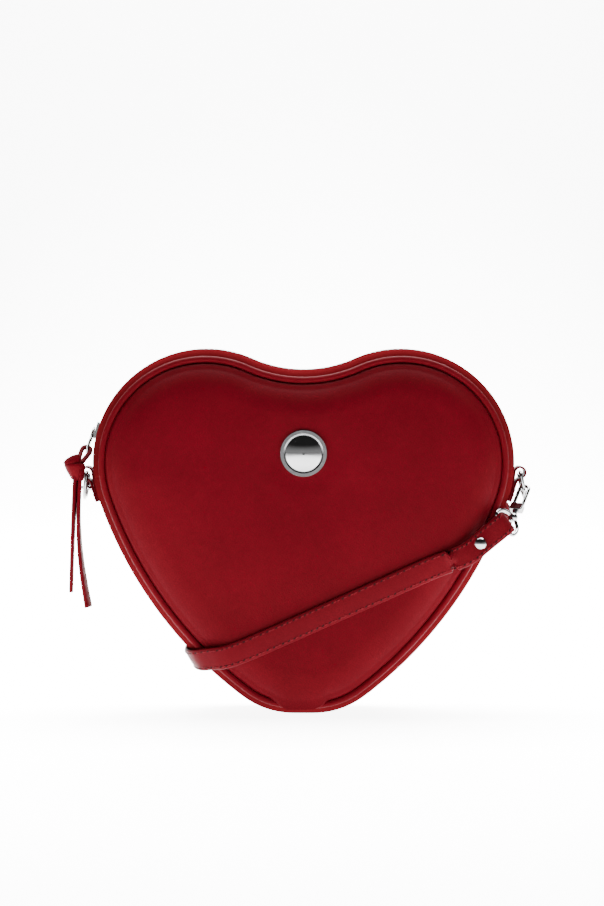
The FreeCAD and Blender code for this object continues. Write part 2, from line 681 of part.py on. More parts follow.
def turned(label, vertices, placement):
    """A revolved sub-part. Each vertex is (radius, height, kind of the edge that follows)."""
    body = doc.addObject("PartDesign::Body", label)
    plane = next(o for o in body.Origin.OriginFeatures if o.Role == "XZ_Plane")
    sketch = body.newObject("Sketcher::SketchObject", label + "_profile")
    sketch.AttachmentSupport = [(plane, "")]
    sketch.MapMode = "FlatFace"
    spots = [Vector(number(radius), number(height), 0) for radius, height, kind in vertices]
    count = len(vertices)
    for index, (radius, height, kind) in enumerate(vertices):
        start, end = spots[index], spots[(index + 1) % count]
        if kind == "line":
            sketch.addGeometry(Part.LineSegment(start, end))
            continue
        rise = abs(end.y - start.y)
        reach = (start.x**2 + rise**2) / (2 * rise)
        centre = Vector(0, end.y - math.copysign(reach, end.y - start.y), 0)
        turns = sorted((heading(centre, start), heading(centre, end)))
        sketch.addGeometry(Part.ArcOfCircle(Part.Circle(centre, UP, reach), *turns))
        sketch.addConstraint(Sketcher.Constraint("PointOnObject", index, 3, -2))
    for index, (radius, height, kind) in enumerate(vertices):
        before = (index - 1) % count
        sketch.addConstraint(Sketcher.Constraint("Coincident", before, 2, index, 1))
    for index, (radius, height, kind) in enumerate(vertices):
        point = (index, 1)
        for way, text, axis in (("DistanceX", radius, -2), ("DistanceY", height, -1)):
            if text == "0":
                sketch.addConstraint(Sketcher.Constraint("PointOnObject", *point, axis))
                continue
            made = sketch.addConstraint(Sketcher.Constraint(way, -1, 1, *point, number(text)))
            sketch.setExpression(f"Constraints[{made}]", bound(text))
    doc.recompute()
    spin = body.newObject("PartDesign::Revolution", label + "_turn")
    spin.Profile = sketch
    spin.ReferenceAxis = (sketch, ["V_Axis"])
    spin.Angle = 360
    return node(label, body, placement)


# Ring tabs, D-rings, snap hooks and strap ends of both sides
CROWN = number("lobe_radius + gusset_rise")
D_HALF = "tab_wide / 2 + ring_clear + ring_wire"
STRAP_HALF = "strap_wide / 2 + ring_clear + strap_ring_wire"
HOOK_LONG = number("hook_bar + hook_block + stud_neck")
BLOCK_START = size("hook_bar")
BLOCK_WIDE = "2 * (hook_half + hook_wire)"
# how each side hangs: side, lean of the D-ring, the hook's place on its bow,
# and the directions of the hook, the strap ring and the strap, which turn with the seam line
SIDES = {
    "right": (1, 12.0, -60.0, (-6.9, -13.5, -14.5), (-5.6, -8.4, -3.3), (-12.8, -2.6, -10.2)),
    "left": (-1, 6.0, 65.0, (5.3, 20.4, 0), (10.1, 4.2, 0), (15.2, 4.8, -1.0)),
}


def seam_turn():
    """How far the seam line turns in from a tab's loop down to the level of the strap rings, degrees."""
    lobe, side = Stretch(RIGHT_LOBE), Stretch(RIGHT_SIDE)
    start = lobe.point(math.radians(-size("loop_turn")))
    level = number("lobe_height - hang_drop")
    arc = side if level < side.point(side.end).z else lobe
    edge = arc.centre.x + math.sqrt(arc.radius**2 - (level - arc.centre.z) ** 2)
    return math.degrees(math.atan2(start.x - edge, start.z - level))


HOOKS_TURN = size("hang_turn") - seam_turn()
TAB_SEAT = "lobe_radius + gusset_rise + seat_gap / 2"
strap_ends = {}
for name, (side, lean, contact, *ways) in SIDES.items():
    with_seam = Rotation(BACK, -side * HOOKS_TURN)
    hook_way, ring_way, strap_way = (with_seam.multVec(Vector(*way)) for way in ways)
    lobe = Vector(side * size("lobe_offset"), 0, size("lobe_height"))
    half_wide = BACK * (size("tab_wide") / 2)
    leg_turn = -size("tab_start") - size("tab_sweep") if side > 0 else 180 + size("tab_start")
    leg_start = Vector(math.cos(math.radians(leg_turn)), 0, math.sin(math.radians(leg_turn)))
    leg_frame = aim(lobe + half_wide, AHEAD, leg_start)
    outer = primitive(
        "Cylinder", leg_frame, Radius=f"{TAB_SEAT} + tab_wall", Height="tab_wide", Angle="tab_sweep"
    )
    inner_frame = aim(lobe + half_wide * 2, AHEAD, RIGHT)
    inner = primitive("Cylinder", inner_frame, Radius=TAB_SEAT, Height="2 * tab_wide")
    leg = drilled(outer, [inner])
    loop_turn = math.radians(-size("loop_turn") if side > 0 else 180 + size("loop_turn"))
    loop_out = number("gusset_rise + seat_gap + loop_outer")
    hinge = lobe + Vector(math.cos(loop_turn), 0, math.sin(loop_turn)) * (size("lobe_radius") + loop_out)
    loop = primitive("Cylinder", aim(hinge + half_wide, AHEAD, RIGHT), Radius="loop_outer", Height="tab_wide")
    hole_frame = aim(hinge + half_wide * 2, AHEAD, RIGHT)
    hole = primitive("Cylinder", hole_frame, Radius="loop_hole", Height="2 * tab_wide")
    node(f"{name}_ring_tab", drilled(fused([leg, loop]), [hole]))

    hang = Vector(side * math.sin(math.radians(lean)), 0, -math.cos(math.radians(lean)))
    wire_ring(f"{name}_d_ring", aim(hinge, BACK.cross(hang), BACK), D_HALF, "ring_leg", "ring_wire")
    angle = math.radians(contact)
    bow = number(D_HALF)
    grip = hinge + hang * (size("ring_leg") + bow * math.cos(angle)) + BACK * bow * math.sin(angle)
    wire_way = BACK * math.cos(angle) - hang * math.sin(angle)
    axis = unit(hook_way)
    across = unit(wire_way.cross(axis))
    hook_frame = Placement(grip, Rotation(axis, across, axis.cross(across), "XYZ"))

    # hook frame: nose, fixed side, returned lip and a block, bored for the swivel
    nose = primitive("Torus", aim(Vector(), UP, BACK), Radius1="hook_half", Radius2="hook_wire", Angle3="180")
    bar_frame = aim(BACK * size("hook_half"), RIGHT, UP)
    bar = primitive("Cylinder", bar_frame, Radius="hook_wire", Height="hook_bar + 1")
    lip_frame = aim(AHEAD * size("hook_half"), RIGHT, UP)
    lip = primitive("Cylinder", lip_frame, Radius="hook_wire", Height="hook_lip")
    corner = Placement(Vector(BLOCK_START, -number(BLOCK_WIDE) / 2, -size("block_deep") / 2), Rotation())
    block = primitive("Box", corner, Length="hook_block", Width=BLOCK_WIDE, Height="block_deep")
    bore_frame = aim(RIGHT * (BLOCK_START - 1), RIGHT, UP)
    bore = primitive("Cylinder", bore_frame, Radius="stud_post + pin_gap", Height="hook_block + 2")
    pivot_x = number("hook_bar + gate_pivot")
    slot_corner = Vector(BLOCK_START - 1, -number(BLOCK_WIDE) / 2 - 1, -number("gate_wire + gate_gap"))
    slot = primitive(
        "Box",
        Placement(slot_corner, Rotation()),
        Length="1 + gate_pivot + gate_barrel + gate_gap",
        Width="1 + hook_wire + gate_barrel + 2.5 * gate_gap",
        Height="2 * (gate_wire + gate_gap)",
    )
    pivot_low = Placement(Vector(pivot_x, -size("hook_half"), -size("block_deep")), Rotation())
    bore_sizes = {"Radius": "pin_radius + pin_gap", "Height": "2 * block_deep"}
    pin_bore, gate_bore = (primitive("Cylinder", pivot_low, **bore_sizes) for _ in range(2))
    recess = primitive(
        "Cylinder", bore_frame, Radius="stud_flange + 2 * pin_gap", Height="1 + stud_inset + flange_long"
    )
    hook = drilled(fused([nose, bar, lip, rounded(block, "block_round")]), [bore, recess, slot, pin_bore])
    node(f"{name}_hook_frame", hook, hook_frame)

    # gate, pivoting on its pin in the block's slot
    tip_x = number("hook_lip + gate_gap")
    gate_tip = Vector(tip_x, -size("hook_half"), 0)
    rod = primitive("Cylinder", aim(gate_tip, RIGHT, UP), Radius="gate_wire", Height=f"{pivot_x - tip_x:.3f}")
    barrel_low = Vector(pivot_x, -size("hook_half"), -number("gate_wire + gate_gap / 2"))
    barrel_sizes = {"Radius": "gate_barrel", "Height": "2 * gate_wire + gate_gap"}
    barrel = primitive("Cylinder", Placement(barrel_low, Rotation()), **barrel_sizes)
    node(f"{name}_hook_gate", drilled(fused([rod, barrel]), [gate_bore]), hook_frame)
    pin_low = Vector(pivot_x, -size("hook_half"), -size("block_deep") / 2)
    pin_frame = hook_frame.multiply(Placement(pin_low, Rotation()))
    node(f"{name}_gate_pin", primitive("Cylinder", pin_frame, Radius="pin_radius", Height="block_deep"))

    # swivel: peened post through the block, collar and drilled ball
    post_end = aim(RIGHT * number("hook_bar + stud_inset"), RIGHT, UP)
    post = primitive("Cylinder", post_end, Radius="stud_post", Height="hook_block + stud_neck - stud_inset")
    flange = primitive("Cylinder", post_end, Radius="stud_flange", Height="flange_long - pin_gap")
    collar = primitive(
        "Cone",
        aim(RIGHT * number("hook_bar + hook_block + pin_gap"), RIGHT, UP),
        Radius1="collar_foot",
        Radius2="collar_top",
        Height="collar_long",
    )
    eye = Vector(HOOK_LONG, 0, 0)
    head = primitive("Sphere", Placement(eye, Rotation()), Radius="stud_ball")
    eye_spot = hook_frame.multVec(eye)
    ring_axis = unit(ring_way)
    bar_spot = eye_spot + ring_axis * (number(STRAP_HALF) + size("strap_ring_leg"))
    strap_along = unit(strap_way)
    strap_across = unit(strap_along.cross(BACK))
    strap_across = unit(strap_across - ring_axis * strap_across.dot(ring_axis))
    hole_way = hook_frame.Rotation.inverted().multVec(strap_across)
    hole_low = aim(eye - hole_way * number("2 * stud_ball"), hole_way, RIGHT)
    eye_hole = primitive("Cylinder", hole_low, Radius="stud_hole", Height="4 * stud_ball")
    node(f"{name}_swivel_stud", drilled(fused([post, flange, collar, head]), [eye_hole]), hook_frame)
    ring_frame = aim(bar_spot, strap_across.cross(-ring_axis), strap_across)
    wire_ring(f"{name}_strap_ring", ring_frame, STRAP_HALF, "strap_ring_leg", "strap_ring_wire")
    strap_out = unit(strap_along.cross(strap_across))
    if strap_out.dot(bar_spot) < 0:
        strap_out = -strap_out
    strap_ends[name] = (bar_spot, strap_along, strap_across, strap_out)


# Strap: folded round the right ring, across the front, round the lower left edge,
# up the back, back on itself at the right, and across to the left ring
def strap_end(name):
    """Points from the hidden end, round the ring's bar, to just past the rivet."""
    spot, along, across, out = strap_ends[name]
    apart = number("strap_wall / 2 + layer_gap / 2")
    folded = number("strap_ring_wire + fold_gap + strap_wall / 2")
    place = size("rivet_place")
    spread = [(place + size("tail_past"), apart), (place, apart)]
    spread += [(0.57 * place, apart + 0.1), (0.25 * place, folded - 0.3)]
    points = [spot + along * reach - out * lift for reach, lift in spread]
    for step in range(9):
        turn = math.pi * step / 8
        points.append(spot - out * folded * math.cos(turn) - along * folded * math.sin(turn))
    points += [spot + along * reach + out * lift for reach, lift in spread[::-1]]
    return [(point, across) for point in points]


SLOPE = math.tan(math.radians(size("belt_slope")))
SPAN = number("lobe_offset + lobe_radius")
FACE = PANEL_FACE + number("belt_gap + strap_wall / 2")


def belt(x, depth, lift=0.0, turn=0.0):
    """A point of the belt that lies across the bag, with its width direction."""
    slope = math.radians(size("belt_slope") + turn)
    height = size("belt_height") + SLOPE * x + lift
    return Vector(x, depth, height), Vector(-math.sin(slope), 0, math.cos(slope))


def left_edge(out):
    """Where the belt, lifted, meets the lower left side at a distance outside its seam."""
    side = Stretch(LEFT_SIDE)
    drop = number("belt_height + wrap_lift") - side.centre.z
    square, half = 1 + SLOPE**2, SLOPE * drop - side.centre.x
    rest = side.centre.x**2 + drop**2 - (side.radius + out) ** 2
    return (-half - math.sqrt(half**2 - square * rest)) / square


# round the lower left edge: way in from the edge in roll widths, depth as a share of
# the belt's, lift as a share of the whole, and turn in degrees
WRAP = (
    (1.41, 1.0, 0.08, 3),
    (1.0, 0.975, 0.22, 4),
    (0.62, 0.885, 0.5, 6),
    (0.28, 0.765, 0.72, 6),
    (0.1, 0.605, 0.86, 7),
    (0.02, 0.395, 0.96, 7),
    (0.0, 0.15, 1.0, 7),
)
# back across the back: place along the half width, and steps from the belt's depth and the lobes' height
RETURN = (
    (0.93, 10.0, -28.7),
    (0.76, 7.5, -27.5),
    (0.53, 4.6, -26.0),
    (0.23, 2.8, -23.7),
    (-0.1, 2.2, -21.2),
    (-0.42, 3.2, -18.5),
)
edge = left_edge(number("gusset_rise + wrap_gap + strap_wall / 2"))
front_run = [belt(share * SPAN, -FACE) for share in (0.63, 0.38, 0.0, -0.12)]
round_left = []
for way, steps in ((-1, WRAP), (1, WRAP[::-1])):
    for inward, share, lift, turn in steps:
        x = edge + inward * size("roll_width")
        round_left.append(belt(x, way * share * FACE, lift * size("wrap_lift"), turn))
back_run = [belt(share * SPAN, FACE) for share in (-0.12, 0.0, 0.38)]
back_run += [belt(share * SPAN, FACE, lift) for share, lift in ((0.63, 0.5), (0.8, 2.5))]
back_run.append(belt(0.93 * SPAN, FACE, 5.0, -4))
hairpin = []
bend = size("hairpin_half")
for step in range(1, 8):
    turn = math.pi * step / 8
    x = SPAN - 1 + 1.4 * bend * math.sin(turn)
    depth = FACE + bend * (0.92 - math.cos(turn))
    height = size("lobe_height") - 30.5 + step / 4
    hairpin.append((Vector(x, depth, height), Vector(-0.3 + 0.03 * step, 0, 1)))
back_again = []
for share, behind, step in RETURN:
    spot = Vector(share * SPAN, FACE + behind, size("lobe_height") + step)
    back_again.append((spot, Vector(0.06, 0, 1)))
path = strap_end("right") + front_run + round_left + back_run
path += hairpin + back_again + strap_end("left")[::-1]


def ribbon(path, wide, wall):
    """A flat strap through points, each with the direction of its width."""
    wires = []
    last_across = None
    for index, (spot, across) in enumerate(path):
        before, after = path[max(index - 1, 0)][0], path[min(index + 1, len(path) - 1)][0]
        along = unit(after - before)
        across = unit(across - along * across.dot(along))
        if last_across is not None and across.dot(last_across) < 0:
            across = -across
        last_across = across
        out = along.cross(across)
        side, lift = across * (wide / 2), out * (wall / 2)
        ways = ((-1, -1), (1, -1), (1, 1), (-1, 1), (-1, -1))
        wires.append(Part.makePolygon([spot + side * a + lift * b for a, b in ways]))
    return Part.makeLoft(wires, True, True)


strap = ribbon(path, size("strap_wide"), size("strap_wall"))
for name in SIDES:
    spot, along, across, out = strap_ends[name]
    rivet_spot = spot + along * size("rivet_place")
    strap = bored(strap, rivet_spot - out * 8, out, number("rivet_post + seat_gap"), 16)
    stack = "(strap_wall + layer_gap / 2 + seat_gap / 2)"
    rivet_profile = [
        ("0", f"{stack} + rivet_dome", "line"),
        ("0", f"-{stack} - rivet_back", "line"),
        ("rivet_cap", f"-{stack} - rivet_back", "line"),
        ("rivet_cap", f"-{stack}", "line"),
        ("rivet_post", f"-{stack}", "line"),
        ("rivet_post", stack, "line"),
        ("rivet_cap", stack, "dome"),
    ]
    turned(f"{name}_rivet", rivet_profile, aim(rivet_spot, out, along))
shaped("strap", strap)

# Front ornament: a plain domed stud, screwed to a washer inside the panel
stud_profile = [
    ("0", "stud_rise", "line"),
    ("0", "-panel_wall - 2 * seat_gap - washer_wall", "line"),
    ("screw_radius", "-panel_wall - 2 * seat_gap - washer_wall", "line"),
    ("screw_radius", "0", "line"),
    ("stud_radius", "0", "line"),
    ("stud_radius", "stud_rim", "line"),
    ("stud_dome + 0.8", "stud_rim", "line"),
    ("stud_dome", "stud_rim / 2", "dome"),
]
stud_spot = SCREW_SPOT + AHEAD * (PANEL_FACE + size("seat_gap"))
turned("front_ornament", stud_profile, aim(stud_spot, AHEAD, RIGHT))
washer_profile = [
    ("screw_radius + pin_gap", "0", "line"),
    ("washer_radius", "0", "line"),
    ("washer_radius", "washer_wall", "line"),
    ("screw_radius + pin_gap", "washer_wall", "line"),
]
washer_spot = SCREW_SPOT + AHEAD * number("seam_half + roll_rise - panel_wall - seat_gap - washer_wall")
turned("ornament_washer", washer_profile, aim(washer_spot, AHEAD, RIGHT))

# Check every piece and write it
doc.recompute()
for piece in doc.Objects:
    if "Invalid" in piece.State or "Error" in piece.State:
        raise ValueError(f"{piece.Label} did not recompute: {piece.State}")
os.makedirs("parts", exist_ok=True)
for label, piece in nodes.items():
    shape = piece.Shape
    if shape.isNull() or not shape.isValid():
        raise ValueError(f"{label} has no valid shape")
    if len(shape.Solids) != 1:
        raise ValueError(f"{label} has {len(shape.Solids)} solids")
    shape.exportStep(f"parts/{label}.step")
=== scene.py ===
import json
import math

import bmesh
import bpy
from bpy.props import FloatProperty, FloatVectorProperty, PointerProperty
from mathutils import Matrix, Vector, kdtree


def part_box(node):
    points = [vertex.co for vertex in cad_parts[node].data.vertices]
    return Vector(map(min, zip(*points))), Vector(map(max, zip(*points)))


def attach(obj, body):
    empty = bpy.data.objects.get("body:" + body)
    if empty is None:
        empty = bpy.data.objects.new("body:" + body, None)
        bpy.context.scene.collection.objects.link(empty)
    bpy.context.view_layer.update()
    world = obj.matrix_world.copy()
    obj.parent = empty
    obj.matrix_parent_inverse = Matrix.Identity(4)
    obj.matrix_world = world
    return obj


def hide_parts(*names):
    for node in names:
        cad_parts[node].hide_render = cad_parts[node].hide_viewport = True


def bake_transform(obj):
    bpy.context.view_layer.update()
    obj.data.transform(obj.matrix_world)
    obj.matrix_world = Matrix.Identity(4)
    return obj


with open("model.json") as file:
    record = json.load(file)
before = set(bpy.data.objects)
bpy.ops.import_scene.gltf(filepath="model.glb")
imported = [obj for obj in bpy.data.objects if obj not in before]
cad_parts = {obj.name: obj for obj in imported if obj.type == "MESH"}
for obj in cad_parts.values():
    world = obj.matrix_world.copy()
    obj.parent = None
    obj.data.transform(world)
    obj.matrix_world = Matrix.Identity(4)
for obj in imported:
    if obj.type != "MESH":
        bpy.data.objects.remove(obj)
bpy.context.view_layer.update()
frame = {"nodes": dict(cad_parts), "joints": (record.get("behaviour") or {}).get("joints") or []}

bl_info = {
    "name": "Heart Shaped Purse",
    "version": (1, 0, 0),
    "blender": (4, 5, 0),
    "location": "3D View > Sidebar > Heart Purse",
    "description": "Dresses the heart shaped purse in leather, cloth, stitching and polished metal",
    "category": "Object",
}

JOINTS = {joint["name"]: joint for joint in frame["joints"]}
RIGHT = Vector((1, 0, 0))
AHEAD = Vector((0, -1, 0))
BACK = Vector((0, 1, 0))
UP = Vector((0, 0, 1))
MM = 0.001

# The purse's two faces and two sides, with their signs along Y and X
FACES = (("front", -1), ("back", 1))
SIDES = (("right", 1), ("left", -1))

# Clearances, and the spacing of columns along the seam line
DOUBLE = 1e-6
SEAT_GAP = 0.1 * MM
STITCH_EDGE = 1.6 * MM
COLUMN = 2.2 * MM
PANEL_COLUMN = 1.3 * MM
PIPING_COLUMN = 1.8 * MM
LINING_COLUMN = 4 * MM


# Sizes and colours that a user may change
def length(name, description, millimetres):
    return FloatProperty(
        name=name, description=description, default=millimetres * MM, unit="LENGTH", precision=5
    )


def turn(name, description, degrees):
    return FloatProperty(
        name=name, description=description, default=math.radians(degrees), subtype="ANGLE"
    )


def colour(name, description, *tint):
    return FloatVectorProperty(
        name=name, description=description, default=tint, subtype="COLOR", min=0.0, max=1.0
    )


class HeartPurseSizes(bpy.types.PropertyGroup):
    """Sizes of the purse's soft pieces"""

    lobe_radius: length("Lobe radius", "Seam line of the two lobes", 54)
    lobe_offset: length("Lobe offset", "Lobe centres from the middle", 51)
    lobe_height: length("Lobe height", "Lobe centres above the floor", 131.5)
    dip_drop: length("Dip", "Dip below the tops of the lobes", 10.8)
    side_radius: length("Side radius", "Long curve of the sides", 212)
    foot_radius: length("Tip radius", "Curve of the tip", 40)
    foot_half: length("Foot", "Half of the flat that the purse stands on", 5)
    seam_half: length("Seam depth", "Front and back seams from mid depth", 23)
    piping_radius: length("Piping", "Radius of the covered cord", 1.7)
    panel_wall: length("Panel leather", "Panel leather with its padding", 1.8)
    roll_width: length("Rolled border", "Width of the panels' rolled border", 17)
    roll_rise: length("Border rise", "Rise of the panels over the seams", 8.5)
    panel_dome: length("Panel dome", "Crown of the panels before they are filled", 0.7)
    panel_swell: length("Panel swelling", "Furthest that the filling pushes the panels out", 2.0)
    gusset_wall: length("Gusset leather", "Thickness of the gusset", 1.4)
    gusset_rise: length("Gusset crown", "Crown of the gusset over the seam line", 5.3)
    gusset_flat: length("Gusset flat", "Half of the gusset's flat crown", 13)
    gusset_split: turn("Gusset split", "Ends of the zip gussets below the lobe centres", 8)
    zip_slot: length("Zip slot", "Half of the opening between the zip gussets", 4.5)
    tape_wall: length("Zip tape", "Thickness of the zip tape", 0.55)
    tape_outer: length("Tape edge", "Outer edge of the tapes from the middle", 10)
    chain_half: length("Chain", "Half width of the closed teeth", 2.4)
    tab_wide: length("Tab width", "Width of the ring tabs", 15)
    strap_wide: length("Strap width", "Width of the strap", 12)
    strap_wall: length("Strap thickness", "Thickness of the strap", 2.4)
    belt_height: length("Strap height", "Strap over the floor at the middle of the front", 48.1)
    belt_slope: turn("Strap slope", "Slope of the strap across the front", 24)
    wrap_lift: length("Wrap lift", "How far the strap climbs at the lower left edge", 7.2)
    stitch_pitch: length("Stitch pitch", "Distance between stitches", 3.1)


class HeartPurseColours(bpy.types.PropertyGroup):
    """Colours of the purse's finishes and of the floor"""

    panel: colour("Panel leather", "Red of the padded panels", 0.037, 0.0011, 0.0025)
    trim: colour("Trim leather", "Red of the piping, tabs and pull", 0.041, 0.0013, 0.0027)
    # The gussets' colour is partly their own red and partly painted sheen: paler, with more green
    # and blue, in place of the gloss that their finish leaves out
    gusset: colour("Gusset leather", "Red of the gussets", 0.040, 0.0021, 0.0030)
    strap: colour("Strap leather", "Red of the strap", 0.040, 0.0014, 0.0029)
    thread: colour("Thread", "Red of the stitching", 0.055, 0.0013, 0.0032)
    tape: colour("Zip tape", "Red of the zip's cloth", 0.045, 0.0010, 0.0020)
    lining: colour("Lining", "Dark lining cloth", 0.035, 0.03, 0.03)
    metal: colour("Metal", "Polished silver plate", 0.22, 0.22, 0.223)
    floor: colour("Floor", "Pale floor and backdrop", 0.9, 0.9, 0.9)


def sizes():
    return bpy.context.scene.heart_purse_sizes


def colours():
    return bpy.context.scene.heart_purse_colours


# The seam line, walked clockwise as seen from the front
class Stretch:
    """A piece of the seam line: an arc, from one turn to another about its centre."""

    def __init__(self, centre, radius, start, end, inside=1):
        self.centre = centre
        self.radius = radius
        self.start = start
        self.end = end
        self.inside = inside

    def part(self, start=None, end=None):
        start = self.start if start is None else start
        end = self.end if end is None else end
        return Stretch(self.centre, self.radius, start, end, self.inside)

    def outward(self, share):
        angle = self.start + (self.end - self.start) * share
        return Vector((math.cos(angle), 0, math.sin(angle))) * self.inside

    def spot(self, share, out=0.0, depth=0.0):
        reach = self.inside * self.radius + out
        return self.centre + self.outward(share) * reach + BACK * depth

    def span(self, out=0.0):
        return (self.radius + self.inside * out) * abs(self.end - self.start)

    def steps(self, spacing):
        return max(2, math.ceil(self.span() / spacing))

    def sweep(self, spacing):
        """Spins the selected section on along this arc."""
        bpy.ops.mesh.spin(
            steps=self.steps(spacing), angle=self.start - self.end, center=self.centre, axis=AHEAD
        )


class Flat(Stretch):
    """The straight foot of the seam line."""

    def __init__(self, first, last):
        self.first = first
        self.last = last

    def outward(self, share):
        return -UP

    def spot(self, share, out=0.0, depth=0.0):
        return self.first.lerp(self.last, share) - UP * out + BACK * depth

    def span(self, out=0.0):
        return (self.last - self.first).length

    def sweep(self, spacing):
        steps = self.steps(spacing)
        step = (self.last - self.first) / steps
        for _ in range(steps):
            bpy.ops.mesh.extrude_region_move(TRANSFORM_OT_translate={"value": step})


class Seam:
    """All stretches of the heart's seam, from the middle of the dip."""

    def __init__(self):
        s = sizes()
        lobe = Vector((s.lobe_offset, 0, s.lobe_height))
        top = s.lobe_radius - s.dip_drop
        dip_radius = (s.lobe_offset**2 + top**2 - s.lobe_radius**2) / (2 * s.dip_drop)
        dip = UP * (s.lobe_height + top + dip_radius)
        foot = Vector((s.foot_half, 0, s.gusset_rise + s.foot_radius))
        side = self.tangent_centre(
            lobe, s.side_radius - s.lobe_radius, foot, s.side_radius - s.foot_radius
        )
        to_dip = self.heading(lobe, dip)
        to_side = self.heading(side, lobe)
        to_foot = self.heading(side, foot)
        down = -math.pi / 2
        swing = to_dip - math.pi - down
        self.right_dip = Stretch(dip, dip_radius, down, down + swing, -1)
        self.right_lobe = Stretch(lobe, s.lobe_radius, to_dip, to_side)
        self.right_side = Stretch(side, s.side_radius, to_side, to_foot)
        self.right_foot = Stretch(foot, s.foot_radius, to_foot, down)
        rights = [self.right_dip, self.right_lobe, self.right_side, self.right_foot]
        lefts = [self.mirrored(stretch) for stretch in rights[::-1]]
        self.left_foot, self.left_side, self.left_lobe, self.left_dip = lefts
        flat = Flat(self.right_foot.spot(1), self.left_foot.spot(0))
        self.whole = rights + [flat] + lefts
        right_split, left_split = -s.gusset_split, -math.pi + s.gusset_split
        self.lower = [self.right_lobe.part(start=right_split), *self.whole[2:-2]]
        self.lower.append(self.left_lobe.part(end=left_split))
        self.upper = self.over(left_split, right_split)

    @staticmethod
    def heading(start, end):
        return math.atan2(end.z - start.z, end.x - start.x)

    @staticmethod
    def tangent_centre(first, first_reach, second, second_reach):
        span = second - first
        along = (first_reach**2 - second_reach**2 + span.length**2) / (2 * span.length)
        height = math.sqrt(first_reach**2 - along**2)
        side = Vector((span.z, 0, -span.x)).normalized()
        ends = [first + span.normalized() * along + side * height * way for way in (1, -1)]
        return min(ends, key=lambda end: end.x)

    @staticmethod
    def mirrored(stretch):
        centre = Vector((-stretch.centre.x, 0, stretch.centre.z))
        start, end = -math.pi - stretch.end, -math.pi - stretch.start
        return Stretch(centre, stretch.radius, start, end, stretch.inside)

    def over(self, left, right):
        """The stretches over both lobes, from a turn on the left lobe to one on the right."""
        return [
            self.left_lobe.part(start=left),
            self.left_dip,
            self.right_dip,
            self.right_lobe.part(end=right),
        ]

    def inside(self, point):
        """How far a point of the front view lies inside the seam line."""
        nearest = 1.0
        flat_point = Vector((point.x, 0, point.z))
        for stretch in self.whole:
            if isinstance(stretch, Flat):
                if abs(point.x) <= stretch.first.x:
                    nearest = min(nearest, point.z - stretch.first.z)
                continue
            arm = flat_point - stretch.centre
            angle = math.atan2(arm.z, arm.x)
            low, high = sorted((stretch.start, stretch.end))
            while angle > high:
                angle -= 2 * math.pi
            if angle >= low:
                nearest = min(nearest, stretch.inside * (stretch.radius - arm.length))
        return nearest


def walk(strand, spacing, out, depth):
    """Places at a pitch along a strand: (spot, outward, ahead) for each."""
    total = sum(stretch.span(out) for stretch in strand)
    count = max(1, round(total / spacing))
    pitch = total / count
    place = pitch / 2
    for stretch in strand:
        run = stretch.span(out)
        while place < run:
            share = place / run
            outward = stretch.outward(share)
            ahead = Vector((outward.z, 0, -outward.x))
            yield stretch.spot(share, out, depth), outward, ahead
            place += pitch
        place -= run


# Modelling helpers
def enter(mode):
    bpy.ops.object.mode_set(mode=mode)


def start_clean():
    if bpy.context.object and bpy.context.object.mode != "OBJECT":
        enter("OBJECT")
    bpy.ops.object.select_all(action="DESELECT")


def pick(*pieces):
    start_clean()
    for piece in pieces:
        piece.select_set(True)
    bpy.context.view_layer.objects.active = pieces[0]


def named(name):
    piece = bpy.context.object
    piece.name = name
    piece.data.name = name
    return piece


def edit_all():
    enter("EDIT")
    bpy.ops.mesh.select_all(action="SELECT")


def close_up(piece, fill=False):
    """Merges doubles, fills open ends where asked, and turns the faces outward."""
    pick(piece)
    edit_all()
    bpy.ops.mesh.remove_doubles(threshold=DOUBLE)
    if fill:
        bpy.ops.mesh.fill_holes(sides=0)
    bpy.ops.mesh.select_all(action="SELECT")
    bpy.ops.mesh.normals_make_consistent(inside=False)
    enter("OBJECT")


def select_where(piece, chosen):
    """Enters edit mode with only those vertices selected whose places pass a test."""
    pick(piece)
    enter("EDIT")
    bpy.ops.mesh.select_mode(type="VERT")
    bpy.ops.mesh.select_all(action="DESELECT")
    mesh = bmesh.from_edit_mesh(piece.data)
    for vertex in mesh.verts:
        vertex.select = chosen(vertex.co)
    mesh.select_flush(True)
    bmesh.update_edit_mesh(piece.data)


def finish_with(piece, kind, **settings):
    """Adds a modifier and applies it."""
    pick(piece)
    modifier = piece.modifiers.new(kind.title(), kind)
    for key, value in settings.items():
        setattr(modifier, key, value)
    bpy.ops.object.modifier_apply(modifier=modifier.name)


def smooth(piece, degrees):
    pick(piece)
    bpy.ops.object.shade_smooth_by_angle(angle=math.radians(degrees))


def section_loop(name, spots, ring):
    """A loop, or an open line, of vertices at given places."""
    start_clean()
    bpy.ops.mesh.primitive_circle_add(vertices=len(spots))
    piece = named(name)
    for vertex, spot in zip(piece.data.vertices, spots):
        vertex.co = spot
    enter("EDIT")
    if not ring:
        mesh = bmesh.from_edit_mesh(piece.data)
        mesh.verts.ensure_lookup_table()
        mesh.edges.remove(mesh.edges.get((mesh.verts[0], mesh.verts[len(spots) - 1])))
        bmesh.update_edit_mesh(piece.data)
    bpy.ops.mesh.select_all(action="SELECT")
    return piece


def spun(name, section, strand, ring=True, fill=False, spacing=COLUMN):
    """Sweeps a section of (out, depth) points along stretches of the seam line."""
    piece = section_loop(name, [strand[0].spot(0, *point) for point in section], ring)
    for stretch in strand:
        stretch.sweep(spacing)
    enter("OBJECT")
    close_up(piece, fill)
    return piece


